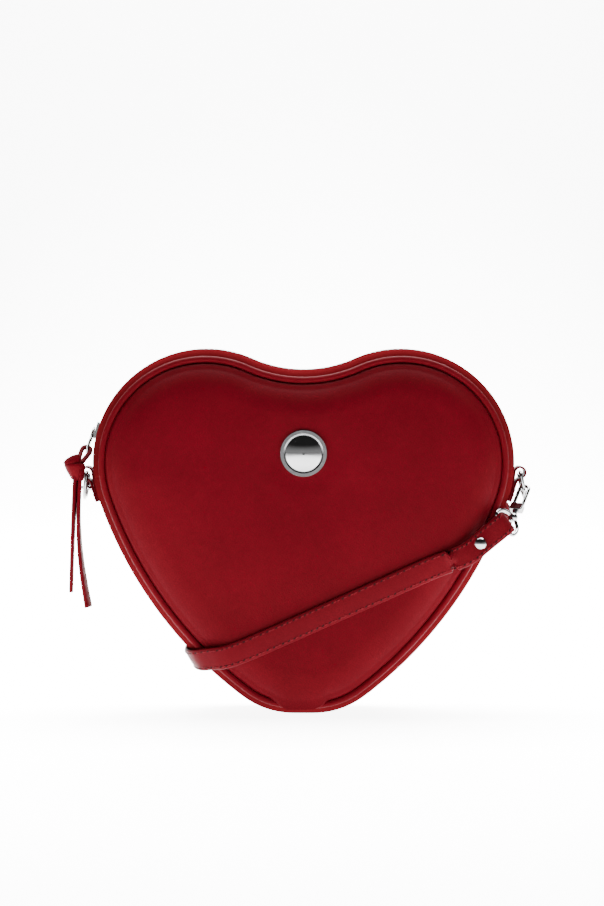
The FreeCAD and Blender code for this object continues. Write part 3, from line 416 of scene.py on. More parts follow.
def ribbon(name, route, section, closed=False):
    """Sweeps a section of (across, out) points along a route of (spot, along, across)."""
    start_clean()
    rows = len(route)
    columns = len(section)
    spans = rows if closed else rows - 1
    bpy.ops.mesh.primitive_grid_add(x_subdivisions=columns, y_subdivisions=spans)
    piece = named(name)
    for index, vertex in enumerate(piece.data.vertices):
        row, column = divmod(index, columns + 1)
        spot, along, across = route[row % rows]
        side, lift = section[column % columns]
        vertex.co = spot + across * side + along.cross(across) * lift
    close_up(piece, fill=not closed)
    return piece


LEAST_ROOT = 1e-4


def eased(points, spacing, closed=False):
    """A smooth route through (spot, across) points, as (spot, along, across) at a spacing."""
    count = len(points)
    spots = [Vector(spot) for spot, across in points]
    sides = [Vector(across) for spot, across in points]

    def knot(values, index):
        if closed:
            return values[index % count]
        if index < 0:
            return values[0] * 2 - values[1]
        if index >= count:
            return values[-1] * 2 - values[-2]
        return values[index]

    def spot_at(index, share):
        """A place on a centripetal spline through the spots."""
        a, b, c, d = (knot(spots, index + step) for step in (-1, 0, 1, 2))
        ta, tb, tc = ((q - p).length ** 0.5 for p, q in ((a, b), (b, c), (c, d)))
        ta, tc = max(ta, LEAST_ROOT), max(tc, LEAST_ROOT)
        leave = (b - a) / ta - (c - a) / (ta + tb) + (c - b) / tb
        reach = (c - b) / tb - (d - b) / (tb + tc) + (d - c) / tc
        leave, reach = leave * tb, reach * tb
        cube, square = share**3, share**2
        return (
            b * (2 * cube - 3 * square + 1)
            + leave * (cube - 2 * square + share)
            + c * (3 * square - 2 * cube)
            + reach * (cube - square)
        )

    def side_at(index, share):
        return knot(sides, index).lerp(knot(sides, index + 1), eased_step(0, 1, share))

    route = []
    last = None
    for index in range(count if closed else count - 1):
        run = (knot(spots, index + 1) - spots[index]).length
        steps = max(1, math.ceil(run / spacing))
        for step in range(steps):
            route.append((spot_at(index, step / steps), side_at(index, step / steps)))
    if not closed:
        route.append((spots[-1], sides[-1]))
    framed = []
    total = len(route)
    for index, (spot, across) in enumerate(route):
        before = route[index - 1 if closed else max(index - 1, 0)][0]
        after = route[(index + 1) % total if closed else min(index + 1, total - 1)][0]
        along = (after - before).normalized()
        across = (across - along * across.dot(along)).normalized()
        if last is not None and across.dot(last) < 0:
            across = -across
        last = across
        framed.append((spot, along, across))
    return framed


def copies(name, model, matrices):
    """One mesh with a copy of a small model at every place."""
    mesh = bpy.data.meshes.new(name)
    builder = bmesh.new()
    for matrix in matrices:
        twin = model.data.copy()
        twin.transform(matrix)
        builder.from_mesh(twin)
        bpy.data.meshes.remove(twin)
    builder.to_mesh(mesh)
    builder.free()
    piece = bpy.data.objects.new(name, mesh)
    bpy.context.scene.collection.objects.link(piece)
    bpy.data.objects.remove(model)
    return piece


def frame_at(spot, along, out):
    """A matrix whose X runs along, and whose Z points out."""
    across = out.cross(along).normalized()
    out = along.cross(across).normalized()
    turned = Matrix((along.normalized(), across, out)).transposed()
    return Matrix.Translation(spot) @ turned.to_4x4()


# A stitch, as shares of its pitch or of its thread's thickness, and after it a flat disc that
# carries the needle hole's painted shadow
THREAD = 0.75 * MM
STRAP_THREAD = 0.85 * MM
STITCH_LONG = 0.78
STITCH_FLAT = 0.8
STITCH_DIP = 0.3
STITCH_SLANT = 0.16
HOLE_SIDES = 7
HOLE_RADIUS = 0.55
HOLE_STRETCH = (1.7, 0.85, 1)
HOLE_TURN = -0.45
HOLE_LIFT = 0.03 * MM


def stitch_model(pitch, thick=THREAD):
    """One stitch: a slanted thread that dips into the leather, and after it a flat disc for the
    needle hole's painted shadow.
    """
    long = STITCH_LONG * pitch
    start_clean()
    bpy.ops.mesh.primitive_uv_sphere_add(segments=8, ring_count=6, radius=thick / 2)
    piece = named("stitch")
    edit_all()
    bpy.ops.transform.resize(value=(long / thick, 1, STITCH_FLAT), center_override=(0, 0, 0))
    enter("OBJECT")
    for vertex in piece.data.vertices:
        share = 2 * vertex.co.x / long
        vertex.co.z -= STITCH_DIP * thick * share * share
        vertex.co.y += STITCH_SLANT * vertex.co.x
    enter("EDIT")
    spot = (pitch / 2, 0, HOLE_LIFT)
    bpy.ops.mesh.primitive_circle_add(
        vertices=HOLE_SIDES, radius=HOLE_RADIUS * thick, fill_type="NGON", location=spot
    )
    bpy.ops.transform.resize(value=HOLE_STRETCH, center_override=spot)
    bpy.ops.transform.rotate(value=HOLE_TURN, orient_axis="Z", center_override=spot)
    enter("OBJECT")
    return piece


def sewn(name, model, places, slot, body):
    """A row of stitches, dressed in thread, with the needle holes' shadow painted dark on flat
    discs.
    """
    row = copies(name, model, places)
    dress(row, slot, body, finish="thread", angle=60)
    # The discs get the needle holes' painted shadow
    row.data.materials.append(finish_named("needle_hole"))
    for polygon in row.data.polygons:
        polygon.material_index = 1 if len(polygon.vertices) == HOLE_SIDES else 0
    return row


def joined(name, pieces):
    pick(*pieces)
    bpy.ops.object.join()
    return named(name)


def eased_step(low, high, value):
    share = min(max((value - low) / (high - low), 0.0), 1.0)
    return share * share * (3 - 2 * share)


def dress(piece, slot, body, *nodes, finish=None, angle=40):
    """Smooths a piece, gives it its finish (its slot's finish unless another is named), hangs it
    from its body's empty and hides the CAD nodes that it stands for.
    """
    smooth(piece, angle)
    piece.data.materials.clear()
    piece.data.materials.append(finish_named(finish or slot))
    if body:
        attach(piece, body)
    if nodes:
        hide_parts(*nodes)


# Finishes
class Nodes:
    """A new material's node tree, with its shader and Object coordinates at hand."""

    def __init__(self, name):
        self.material = bpy.data.materials.new(name)
        self.material.use_nodes = True
        self.tree = self.material.node_tree
        self.shader = self.tree.nodes["Principled BSDF"]
        self.place = self.tree.nodes.new("ShaderNodeTexCoord").outputs["Object"]

    def add(self, kind, inputs=(), **settings):
        node = self.tree.nodes.new(kind)
        for key, value in settings.items():
            setattr(node, key, value)
        for key, value in dict(inputs).items():
            self.set(node, key, value)
        return node

    def set(self, node, key, value):
        if isinstance(value, bpy.types.NodeSocket):
            self.tree.links.new(value, node.inputs[key])
        else:
            node.inputs[key].default_value = value

    def finish(self, **sockets):
        for key, value in sockets.items():
            self.set(self.shader, key.replace("_", " ").title(), value)
        return self.material

    def noise(self, scale, detail=3.0, rough=0.5, place=None):
        place = place or self.place
        values = {"Vector": place, "Scale": scale, "Detail": detail, "Roughness": rough}
        return self.add("ShaderNodeTexNoise", values).outputs["Fac"]

    def wave(self, place, scale, distortion):
        values = {"Vector": place, "Scale": scale, "Distortion": distortion}
        return self.add("ShaderNodeTexWave", values).outputs["Fac"]

    def mapped(self, **inputs):
        """Object coordinates, moved, turned or scaled."""
        return self.add("ShaderNodeMapping", {"Vector": self.place, **inputs}).outputs["Vector"]

    def span(self, value, low, high, first=0.0, last=1.0):
        values = {"From Min": first, "From Max": last, "To Min": low, "To Max": high}
        return self.add("ShaderNodeMapRange", {"Value": value, **values}).outputs["Result"]

    def mix(self, share, first, second):
        values = {"Fac": share, "Color1": first, "Color2": second}
        return self.add("ShaderNodeMixRGB", values).outputs["Color"]

    def bump(self, height, strength, distance, before=None):
        values = {"Height": height, "Strength": strength, "Distance": distance}
        if before is not None:
            values["Normal"] = before
        return self.add("ShaderNodeBump", values).outputs["Normal"]


def shade(tint, share):
    return (tint[0] * share, tint[1] * share, tint[2] * share, 1.0)


LEATHER_GLEAM = (1.0, 0.3, 0.32, 1.0)
# How dark the needle holes' painted shadow is, as a share of the thread's colour
HOLE_PAINTED_SHADOW = 0.08


def leather(name, tint, rough=0.46, grain=1500.0, crease=0.28, shine=0.02):
    """Smooth grained leather: pores, fine creases and an uneven dye."""
    n = Nodes(name)
    dye = n.span(n.noise(26.0, 5.0, 0.6), 0.0, 1.0, 0.3, 0.72)
    pores = n.add(
        "ShaderNodeTexVoronoi", {"Vector": n.place, "Scale": grain}, feature="SMOOTH_F1"
    ).outputs["Distance"]
    tone = n.mix(dye, shade(tint, 0.86), shade(tint, 1.12))
    tone = n.mix(n.span(pores, 0.0, 0.35, 0.25, 0.8), tone, shade(tint, 0.62))
    gloss = n.span(n.noise(75.0, 6.0, 0.65), rough - 0.05, rough + 0.09, 0.3, 0.7)
    normal = n.bump(n.noise(190.0, 8.0, 0.66), crease, 0.5 * MM)
    normal = n.bump(pores, 0.2, 0.25 * MM, normal)
    normal = n.bump(n.noise(2600.0, 2.0), 0.06, 0.1 * MM, normal)
    n.set(n.shader, "Specular IOR Level", shine)
    return n.finish(base_color=tone, roughness=gloss, normal=normal, specular_tint=LEATHER_GLEAM)


def cloth(name, tint, threads):
    """Plain weave: two crossing sets of threads."""
    n = Nodes(name)
    weave = n.add("ShaderNodeMath", operation="MAXIMUM")
    for index, turned in enumerate((0.0, math.pi / 2)):
        place = n.mapped(Rotation=(turned, 0.3, turned))
        n.set(weave, index, n.wave(place, threads, 0.6))
    weave = weave.outputs["Value"]
    patch = n.noise(60.0, 4.0)
    tone = n.mix(weave, shade(tint, 0.6), shade(tint, 1.15))
    tone = n.mix(n.span(patch, 0.0, 0.3, 0.35, 0.7), tone, shade(tint, 0.75))
    gloss = n.span(patch, 0.7, 0.9)
    normal = n.bump(weave, 0.35, 0.15 * MM)
    return n.finish(base_color=tone, roughness=gloss, normal=normal, sheen_weight=0.3)


def thread(name, tint):
    """Twisted sewing thread."""
    n = Nodes(name)
    twist = n.wave(n.mapped(Rotation=(0.4, 0.7, 0.5)), 700.0, 1.0)
    tone = n.mix(twist, shade(tint, 0.7), shade(tint, 1.15))
    gloss = n.span(twist, 0.6, 0.75)
    n.set(n.shader, "Specular IOR Level", 0.05)
    return n.finish(base_color=tone, roughness=gloss, normal=n.bump(twist, 0.3, 0.1 * MM))


def plated(name, tint):
    """Polished silver plate with faint rubbing marks."""
    n = Nodes(name)
    rubbed = n.noise(120.0, 6.0, 0.7)
    marks = n.noise(420.0, 4.0, 0.7, n.mapped(Scale=(1.0, 9.0, 3.0)))
    tone = n.mix(n.span(rubbed, 0.0, 1.0, 0.3, 0.7), shade(tint, 0.94), shade(tint, 1.0))
    gloss = n.span(rubbed, 0.07, 0.16, 0.3, 0.75)
    normal = n.bump(marks, 0.03, 0.1 * MM)
    return n.finish(base_color=tone, metallic=1.0, roughness=gloss, normal=normal)


def finish_named(name):
    """A finish of the purse, made the first time it is asked for."""
    made = "dressed_" + name
    if made in bpy.data.materials:
        return bpy.data.materials[made]
    c = colours()
    makers = {
        "panel_leather": (leather, c.panel, {}),
        "trim_leather": (leather, c.trim, {"rough": 0.42}),
        "piping_leather": (leather, c.trim, {"rough": 0.55}),
        # No gloss on the gussets: their colour carries a painted sheen instead
        "gusset_leather": (leather, c.gusset, {"rough": 0.6, "shine": 0.0}),
        "strap_leather": (leather, c.strap, {"rough": 0.44, "grain": 1300.0, "shine": 0.035}),
        "thread": (thread, c.thread, {}),
        # Painted shadow of the needle holes: a dark copy of the thread
        "needle_hole": (thread, [HOLE_PAINTED_SHADOW * part for part in c.thread], {}),
        "zip_cloth": (cloth, c.tape, {"threads": 420.0}),
        "lining_cloth": (cloth, c.lining, {"threads": 300.0}),
        "polished_metal": (plated, c.metal, {}),
    }
    maker, tint, settings = makers[name]
    return maker(made, tint, **settings)


# Padded panels: where the leather tucks in beside the piping, as (inward, rise) in millimetres
TUCK = [(-1.5, -1.78), (0.0, -1.6), (0.0, -0.6), (-0.02, 0.3)]
TUCK += [(0.15, 1.1), (0.7, 1.95), (1.6, 2.75)]
TUCK_WIDTH = 2.6 * MM
ROLL_STEPS = 14
FIELD_RINGS = (0.9, 0.8, 0.7, 0.6, 0.5, 0.4, 0.3, 0.21, 0.13, 0.06)
FIELD_MIDDLE = 0.82
DOME_RANGE = (0.55, 2.6)
SKIN_SHARE = 0.9


def roll_arc(under):
    """Half section of a panel's rolled border, as (out, depth), from the seam to the field."""
    s = sizes()
    radius = (s.roll_width**2 + s.roll_rise**2) / (2 * s.roll_rise)
    sweep = math.asin(s.roll_width / radius)
    out = -s.piping_radius - SEAT_GAP - s.roll_width
    depth = s.seam_half + s.roll_rise - radius
    reach = radius - under
    turns = [sweep * (1 - step / ROLL_STEPS) for step in range(ROLL_STEPS + 1)]
    return [(out + reach * math.sin(turn), depth + reach * math.cos(turn)) for turn in turns]


def heart_skin(name, way, under=0.0, tuck=True):
    """One heart shaped skin: the rolled border spun along the seam, closed by a field."""
    section = roll_arc(under)
    if tuck:
        out, depth = section[0]
        border = [point for point in section if point[0] < out - TUCK_WIDTH]
        section = [(out - inward * MM, depth + rise * MM) for inward, rise in TUCK] + border
    face = section[-1][1]
    section = [(out, way * depth) for out, depth in section]
    spacing = PANEL_COLUMN if tuck else COLUMN
    piece = spun(name, section, Seam().whole, ring=False, spacing=spacing)
    select_where(piece, lambda spot: abs(abs(spot.y) - face) < DOUBLE)
    middle = (0, way * face, FIELD_MIDDLE * sizes().lobe_height)
    kept = 1.0
    for share in FIELD_RINGS:
        bpy.ops.mesh.extrude_region_move()
        ratio = share / kept
        bpy.ops.transform.resize(value=(ratio, 1, ratio), center_override=middle)
        kept = share
    bpy.ops.mesh.merge(type="CENTER")
    enter("OBJECT")
    close_up(piece)
    if sum(polygon.normal.y * polygon.area for polygon in piece.data.polygons) * way < 0:
        edit_all()
        bpy.ops.mesh.flip_normals()
        enter("OBJECT")
    return piece


# How far from the strap's middle line and from the ornament a panel begins to swell, and is free
STRAP_FREE = (6.5 * MM, 17 * MM)
ORNAMENT_FREE = (12.5 * MM, 24 * MM)


def pressed(point, ornament):
    """How freely the field may swell at a place: not under the strap or the ornament."""
    s = sizes()
    line = point.z - s.belt_height - math.tan(s.belt_slope) * point.x
    free = eased_step(*STRAP_FREE, abs(line) * math.cos(s.belt_slope))
    if point.y < 0:
        apart = math.hypot(point.x - ornament.x, point.z - ornament.z)
        free *= eased_step(*ORNAMENT_FREE, apart)
    return free


# The panels' filling: a coarse pad, held at its seam and blown up as cloth
PAD_VOXEL = 4 * MM
PAD_FREE = (1 * MM, 5 * MM)
PAD_PRESSURE = 4.0
PAD_FRAMES = 20
PAD_REACH = 14 * MM


def swell(piece, ornament):
    """Fills a panel: a coarse closed copy is blown up as cloth, and the panel follows it."""
    s = sizes()
    pick(piece)
    bpy.ops.object.duplicate()
    pad = named("pad")
    close_up(pad, fill=True)
    pad.data.remesh_voxel_size = PAD_VOXEL
    bpy.ops.object.voxel_remesh()
    before = [vertex.co.copy() for vertex in pad.data.vertices]
    held = pad.vertex_groups.new(name="held")
    for vertex in pad.data.vertices:
        free = eased_step(*PAD_FREE, abs(vertex.co.y) - s.seam_half)
        held.add([vertex.index], 1 - free * pressed(vertex.co, ornament), "REPLACE")
    blown = pad.modifiers.new("Cloth", "CLOTH")
    blown.settings.vertex_group_mass = "held"
    blown.settings.use_pressure = True
    blown.settings.uniform_pressure_force = PAD_PRESSURE
    blown.settings.effector_weights.gravity = 0.0
    blown.point_cache.frame_end = PAD_FRAMES
    scene = bpy.context.scene
    for frame_number in range(1, PAD_FRAMES + 1):
        scene.frame_set(frame_number)
    bpy.ops.object.modifier_apply(modifier=blown.name)
    scene.frame_set(1)
    moved = [vertex.co - spot for vertex, spot in zip(pad.data.vertices, before)]
    furthest = max(move.length for move in moved)
    if furthest == 0:
        raise RuntimeError("the panel's filling did not swell")
    share = min(1.0, s.panel_swell / furthest)
    tree = kdtree.KDTree(len(before))
    for index, spot in enumerate(before):
        tree.insert(spot, index)
    tree.balance()
    for vertex in piece.data.vertices:
        near = [(index, gap) for _, index, gap in tree.find_range(vertex.co, PAD_REACH)]
        weights = [(1 - (gap / PAD_REACH) ** 2) ** 2 for _, gap in near]
        moves = [moved[index] * weight for (index, _), weight in zip(near, weights)]
        vertex.co += sum(moves, Vector()) * (share / sum(weights))
    bpy.data.objects.remove(pad)


# The front panel's fold over the piping at the tip: its edge, as (x, height) in millimetres
TIP_EDGE = ((-17.6, 9.2), (-8.9, 3.0), (4.7, 3.3), (9.4, 5.0), (13.0, 8.0))
TIP_HEIGHT = 45 * MM
TIP_CLEAR = 0.45 * MM
TIP_TURN = 2.5 * MM
TIP_EASE = 16 * MM
TIP_STAND = 0.5 * MM
TIP_DRAW = 0.88


def pull_over_tip(piece, seam):
    """Lets the front panel's leather stand over the piping at the tip, down to a straight edge."""
    s = sizes()
    rim = s.piping_radius + SEAT_GAP
    front = s.seam_half + s.piping_radius + TIP_CLEAR
    for vertex in piece.data.vertices:
        x = vertex.co.x / MM
        if vertex.co.z > TIP_HEIGHT or not TIP_EDGE[0][0] < x < TIP_EDGE[-1][0]:
            continue
        first, last = next(pair for pair in zip(TIP_EDGE, TIP_EDGE[1:]) if x <= pair[1][0])
        level = first[1] + (last[1] - first[1]) * (x - first[0]) / (last[0] - first[0])
        inward = seam.inside(vertex.co) - rim
        arm = max(abs(vertex.co.x) - s.foot_half, 0.0)
        reach = s.foot_radius - rim
        own = s.gusset_rise + s.foot_radius - math.sqrt(reach**2 - arm**2)
        drop = max(own - level * MM, 0.0)
        folded = min(1.0, drop / TIP_TURN)
        share = max(0.0, 1 - max(inward, 0.0) / TIP_EASE) ** 2
        vertex.co.z -= drop * share + min(inward, 0.0) * folded
        if vertex.co.y > -front:
            vertex.co.y += folded * TIP_DRAW * (-front - vertex.co.y)
        vertex.co.y -= TIP_STAND * share * folded


class HEARTPURSE_OT_panels(bpy.types.Operator):
    """Makes the two padded heart panels"""

    bl_idname = "heart_purse.panels"
    bl_label = "Panels"

    def execute(self, context):
        s = sizes()
        seam = Seam()
        field = s.piping_radius + s.roll_width
        edge, crest = (share * field for share in DOME_RANGE)
        low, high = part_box("front_ornament")
        ornament = (low + high) / 2
        for face, way in FACES:
            node = face + "_panel"
            piece = heart_skin(node + "_skin", way)
            for vertex in piece.data.vertices:
                crown = eased_step(edge, crest, seam.inside(vertex.co))
                vertex.co.y += way * s.panel_dome * (crown * pressed(vertex.co, ornament))
            swell(piece, ornament)
            if way < 0:
                pull_over_tip(piece, seam)
            finish_with(piece, "SOLIDIFY", thickness=s.panel_wall * SKIN_SHARE, offset=-1.0)
            dress(piece, "panel_leather", "bag", node, angle=50)
        return {"FINISHED"}


PIPING_SIDES = 18


class HEARTPURSE_OT_piping(bpy.types.Operator):
    """Makes the covered cord in both seams"""

    bl_idname = "heart_purse.piping"
    bl_label = "Piping"

    def execute(self, context):
        s = sizes()
        seam = Seam()
        for face, way in FACES:
            section = []
            for step in range(PIPING_SIDES):
                angle = 2 * math.pi * step / PIPING_SIDES
                out = s.piping_radius * math.cos(angle)
                section.append((out, way * s.seam_half + s.piping_radius * math.sin(angle)))
            node = face + "_piping"
            piece = spun(node + "_cord", section, seam.whole, spacing=PIPING_COLUMN)
            dress(piece, "trim_leather", "bag", node, finish="piping_leather", angle=80)
        return {"FINISHED"}


# Gussets, zip and lining
FLAT_STEPS = 4
SHOULDER_STEPS = 9
GUSSET_BEVEL = {"width": 0.3 * MM, "segments": 2, "angle_limit": math.radians(60)}
ZIP_STITCH_INSET = 1.5 * MM
ZIP_STITCH_RISE = 0.05 * MM
TAPE_GAP = 0.05 * MM
TAPE_BEVEL = 0.3 * MM
LINING_WALL = 0.5 * MM
LINING_GAP = 0.4 * MM
LINING_UNDER = {"front": 3.3 * MM, "back": 2.2 * MM}


def gusset_curve(inner, under):
    """Half of a gusset's section, from near the middle to its seam, at a depth under its skin."""
    s = sizes()
    shoulder = s.seam_half - s.piping_radius - SEAT_GAP - s.gusset_flat
    radius = (shoulder**2 + s.gusset_rise**2) / (2 * s.gusset_rise)
    sweep = math.asin(shoulder / radius)
    reach = radius - under
    points = []
    for step in range(FLAT_STEPS):
        depth = inner + (s.gusset_flat - inner) * step / FLAT_STEPS
        points.append((s.gusset_rise - under, depth))
    for step in range(SHOULDER_STEPS + 1):
        angle = sweep * step / SHOULDER_STEPS
        out = s.gusset_rise - radius + reach * math.cos(angle)
        points.append((out, s.gusset_flat + reach * math.sin(angle)))
    return points


def gusset_strip(way, under, wall):
    """Section of a band beside the zip."""
    inner = sizes().zip_slot
    loop = gusset_curve(inner, under) + gusset_curve(inner, under + wall)[::-1]
    return [(out, way * depth) for out, depth in loop]


def gusset_band(under, wall):
    """Section of a band that reaches from seam to seam."""
    outer, inner = gusset_curve(0.0, under), gusset_curve(0.0, under + wall)

    def across(half):
        return [(out, -depth) for out, depth in half[:0:-1]] + half

    return across(outer) + across(inner)[::-1]


def sewn_row(name, strand, out, depth):
    """A row of stitches in the gusset, along stretches of the seam line."""
    pitch = sizes().stitch_pitch
    places = [
        frame_at(spot, ahead, outward) for spot, outward, ahead in walk(strand, pitch, out, depth)
    ]
    sewn(name, stitch_model(pitch), places, "trim_leather", "bag")


class HEARTPURSE_OT_gussets(bpy.types.Operator):
    """Makes the gussets round the edge, with their stitching"""

    bl_idname = "heart_purse.gussets"
    bl_label = "Gussets"

    def execute(self, context):
        s = sizes()
        seam = Seam()
        band = gusset_band(0, s.gusset_wall)
        piece = spun("bottom_gusset_band", band, seam.lower, fill=True)
        dress(piece, "trim_leather", "bag", "bottom_gusset", finish="gusset_leather")
        for face, way in FACES:
            node = "zip_gusset_" + face
            strip = gusset_strip(way, 0, s.gusset_wall)
            piece = spun(node + "_strip", strip, seam.upper, fill=True)
            finish_with(piece, "BEVEL", limit_method="ANGLE", **GUSSET_BEVEL)
            dress(piece, "trim_leather", "bag", node, finish="gusset_leather")
            out, depth = s.gusset_rise + ZIP_STITCH_RISE, s.zip_slot + ZIP_STITCH_INSET
            sewn_row(node + "_stitches", seam.upper, out, way * depth)
        return {"FINISHED"}


class HEARTPURSE_OT_zip(bpy.types.Operator):
    """Makes the zip's cloth tapes"""

    bl_idname = "heart_purse.zip"
    bl_label = "Zip"

    def execute(self, context):
        s = sizes()
        top = s.gusset_rise - s.gusset_wall - TAPE_GAP
        low = top - s.tape_wall
        near, far = s.chain_half + TAPE_GAP, s.tape_outer
        lip = near + TAPE_BEVEL
        rim = [(top - s.tape_wall / 2, near), (top, lip), (top, far), (low, far), (low, lip)]
        strand = Seam().over(-math.pi, 0.0)
        for face, way in FACES:
            node = "zip_tape_" + face
            section = [(out, way * depth) for out, depth in rim]
            piece = spun(node + "_cloth", section, strand, fill=True)
            dress(piece, "zip_cloth", "bag", node)
        return {"FINISHED"}


def line_gusset(node, section, strand):
    """A strip of lining under a gusset."""
    piece = spun(node + "_cloth", section, strand, fill=True, spacing=LINING_COLUMN)
    dress(piece, "lining_cloth", "bag", node)


def curve_length(section):
    return sum((Vector(a) - Vector(b)).length for a, b in zip(section, section[1:]))


class HEARTPURSE_OT_lining(bpy.types.Operator):
    """Makes the lining inside the panels and gussets"""

    bl_idname = "heart_purse.lining"
    bl_label = "Lining"

    def execute(self, context):
        s = sizes()
        seam = Seam()
        for face, way in FACES:
            node = "lining_" + face
            piece = heart_skin(node + "_cloth", way, LINING_UNDER[face], tuck=False)
            finish_with(piece, "SOLIDIFY", thickness=LINING_WALL, offset=-1.0)
            dress(piece, "lining_cloth", "bag", node)
            places = zip(*(vertex.co for vertex in piece.data.vertices))
            cut = [max(spots) - min(spots) for spots in places]
        under = s.gusset_wall + s.tape_wall + LINING_GAP
        width = 2 * curve_length(gusset_curve(0.0, under))
        line_gusset("lining_base", gusset_band(under, LINING_WALL), seam.lower)
        width = curve_length(gusset_curve(s.zip_slot, under))
        for face, way in FACES:
            strip = gusset_strip(way, under, LINING_WALL)
            line_gusset("lining_zip_" + face, strip, seam.upper)
        return {"FINISHED"}


# Ring tabs: their course round the D-rings' bars, as (rise, climb) in millimetres, and stitches
TAB_UNDER = [(-3.0, -16.5), (-3.0, -11), (-2.98, -6), (-2.95, -2.2)]
TAB_OVER = [(-0.75, -4.1), (-1.45, -5.6), (-1.75, -8), (-1.8, -12), (-1.8, -16.5)]
TAB_BEND = 2.85
TAB_TURNS = range(172, -54, -25)
TAB_WALL = 1.15 * MM
TAB_SPACING = 0.8 * MM
TAB_PITCH = 2.6 * MM
TAB_TOP = -1.17
TAB_SIDE_STITCHES = (-7.0, -9.8, -12.6)
TAB_CROSS_STITCHES = ((-0.85, -5.6), (TAB_TOP, -14.6))
STRIP_COLUMNS = 8


def strip_section(wide, wall, crown, edge):
    """Section of a leather strip, as (across, out): rounded edges and a slight crown."""
    points = []
    for way in (1, -1):
        row = []
        for step in range(STRIP_COLUMNS + 1):
            share = 2 * step / STRIP_COLUMNS - 1
            row.append((share * (wide / 2 - edge), wall / 2 - crown * share * share))
        if way < 0:
            row = [(side, -lift) for side, lift in row[::-1]]
        last, level = way * wide / 2, way * (wall / 2 - edge - crown)
        points += row + [(last, level), (last, -level)]
    return points


class HEARTPURSE_OT_tabs(bpy.types.Operator):
    """Makes the two ring tabs: a leather strip folded through each D-ring and sewn down"""

    bl_idname = "heart_purse.tabs"
    bl_label = "Ring tabs"

    def execute(self, context):
        s = sizes()
        section = strip_section(s.tab_wide, TAB_WALL, crown=0.05 * MM, edge=0.3 * MM)
        edge = s.tab_wide / 2 - STITCH_EDGE
        turns = [math.radians(degrees) for degrees in TAB_TURNS]
        bend = [(TAB_BEND * math.cos(angle), TAB_BEND * math.sin(angle)) for angle in turns]
        for name, side in SIDES:
            lobe = Vector((side * s.lobe_offset, 0, s.lobe_height))
            arm = Vector(JOINTS[f"{name}_ring_swing"]["pos_m"]) - lobe
            bar = math.atan2(arm.z, arm.x * side)

            def on_tab(rise, climb):
                angle = bar + climb * MM / arm.length
                reach = arm.length + rise * MM
                return lobe + Vector((side * math.cos(angle), 0, math.sin(angle))) * reach

            def outward(climb):
                return (on_tab(1, climb) - on_tab(0, climb)).normalized()

            trail = [(on_tab(*point), BACK * side) for point in TAB_UNDER + bend + TAB_OVER]
            piece = ribbon(f"{name}_tab_leather", eased(trail, TAB_SPACING), section)
            dress(piece, "trim_leather", "bag", f"{name}_ring_tab")
            places = []
            for depth in (-edge, edge):
                for climb in TAB_SIDE_STITCHES:
                    along = on_tab(TAB_TOP, climb + 1) - on_tab(TAB_TOP, climb - 1)
                    spot = on_tab(TAB_TOP, climb) + BACK * depth
                    places.append(frame_at(spot, along.normalized(), outward(climb)))
            for step in range(-2, 3):
                for rise, climb in TAB_CROSS_STITCHES:
                    spot = on_tab(rise, climb) + BACK * (TAB_PITCH * step)
                    places.append(frame_at(spot, BACK, outward(climb)))
            sewn(f"{name}_tab_stitches", stitch_model(TAB_PITCH), places, "trim_leather", "bag")
        return {"FINISHED"}


# Strap: the directions of each strap ring and of the strap there, and where each end is held
STRAP_SIDES = {
    "right": ((-5.6, -8.4, -3.3), (-12.8, -2.6, -10.2)),
    "left": ((10.1, 4.2, 0.0), (15.2, 4.8, -1.0)),
}
STRAP_HOLDS = {"right": (0.064, -0.033, 0.077), "left": (-0.062, 0.038, 0.115)}
RING_CLEAR = 0.4 * MM
RING_WIRE = 0.95 * MM
RING_LEG = 3.2 * MM
FOLD_STEPS = 8
FOLD_HALF = 1.3 * MM
FOLD_BEND = 2.5 * MM
FOLD_END = 8 * MM
FOLD_SHARES = (0.57, 0.25)
FOLD_SLACK = 0.1 * MM
FOLD_NIP = 0.3 * MM
RIVET_REACH = 15.9 * MM
STRAP_GAP = 0.35 * MM
WRAP_GAP = 1.6 * MM
STRAP_SPACING = 1.8 * MM
STRAP_STITCH_SINK = 0.12 * MM

# The straight runs, as shares of the half width, and how far the back one climbs in millimetres
FRONT_RUN = (0.63, 0.38, 0.0, -0.12)
BACK_RUN = (-0.12, 0.0)
BACK_CLIMB = ((0.38, 0, 0), (0.63, 0.5, 0), (0.8, 2.5, 0), (0.93, 5, -4))

# The wrap at the lower left, as (inward in border widths, depth, lift, more slope in degrees)
WRAP = [(1.41, 1.0, 0.08, 3), (1.0, 0.975, 0.22, 4), (0.62, 0.885, 0.5, 6), (0.28, 0.765, 0.72, 6)]
WRAP += [(0.1, 0.605, 0.86, 7), (0.02, 0.395, 0.96, 7), (0.0, 0.15, 1.0, 7)]

# The hairpin behind the right lobe, and the run back, as (x share, behind, climb from the lobes)
HAIRPIN_STEPS = 8
HAIRPIN_BEND = 5 * MM
HAIRPIN_LOW = 30.5
HAIRPIN_LONG = 1.4
HAIRPIN_START = 0.92
LAST_RUN = [(0.93, 10.0, -28.7), (0.76, 7.5, -27.5), (0.53, 4.6, -26.0)]
LAST_RUN += [(0.23, 2.8, -23.7), (-0.1, 2.2, -21.2), (-0.42, 3.2, -18.5)]
LAST_RUN_SPLIT = 4


def strap_frame(name):
    """The strap ring's bar, and the strap's along, across and outer directions there."""
    ring_axis, along = (Vector(way).normalized() for way in STRAP_SIDES[name])
    reach = sizes().strap_wide / 2 + RING_CLEAR + RING_WIRE + RING_LEG
    bar = Vector(JOINTS[f"{name}_swivel"]["pos_m"]) + ring_axis * reach
    across = along.cross(BACK).normalized()
    across = (across - ring_axis * across.dot(ring_axis)).normalized()
    out = along.cross(across).normalized()
    if out.dot(bar) < 0:
        out = -out
    return bar, along, across, out


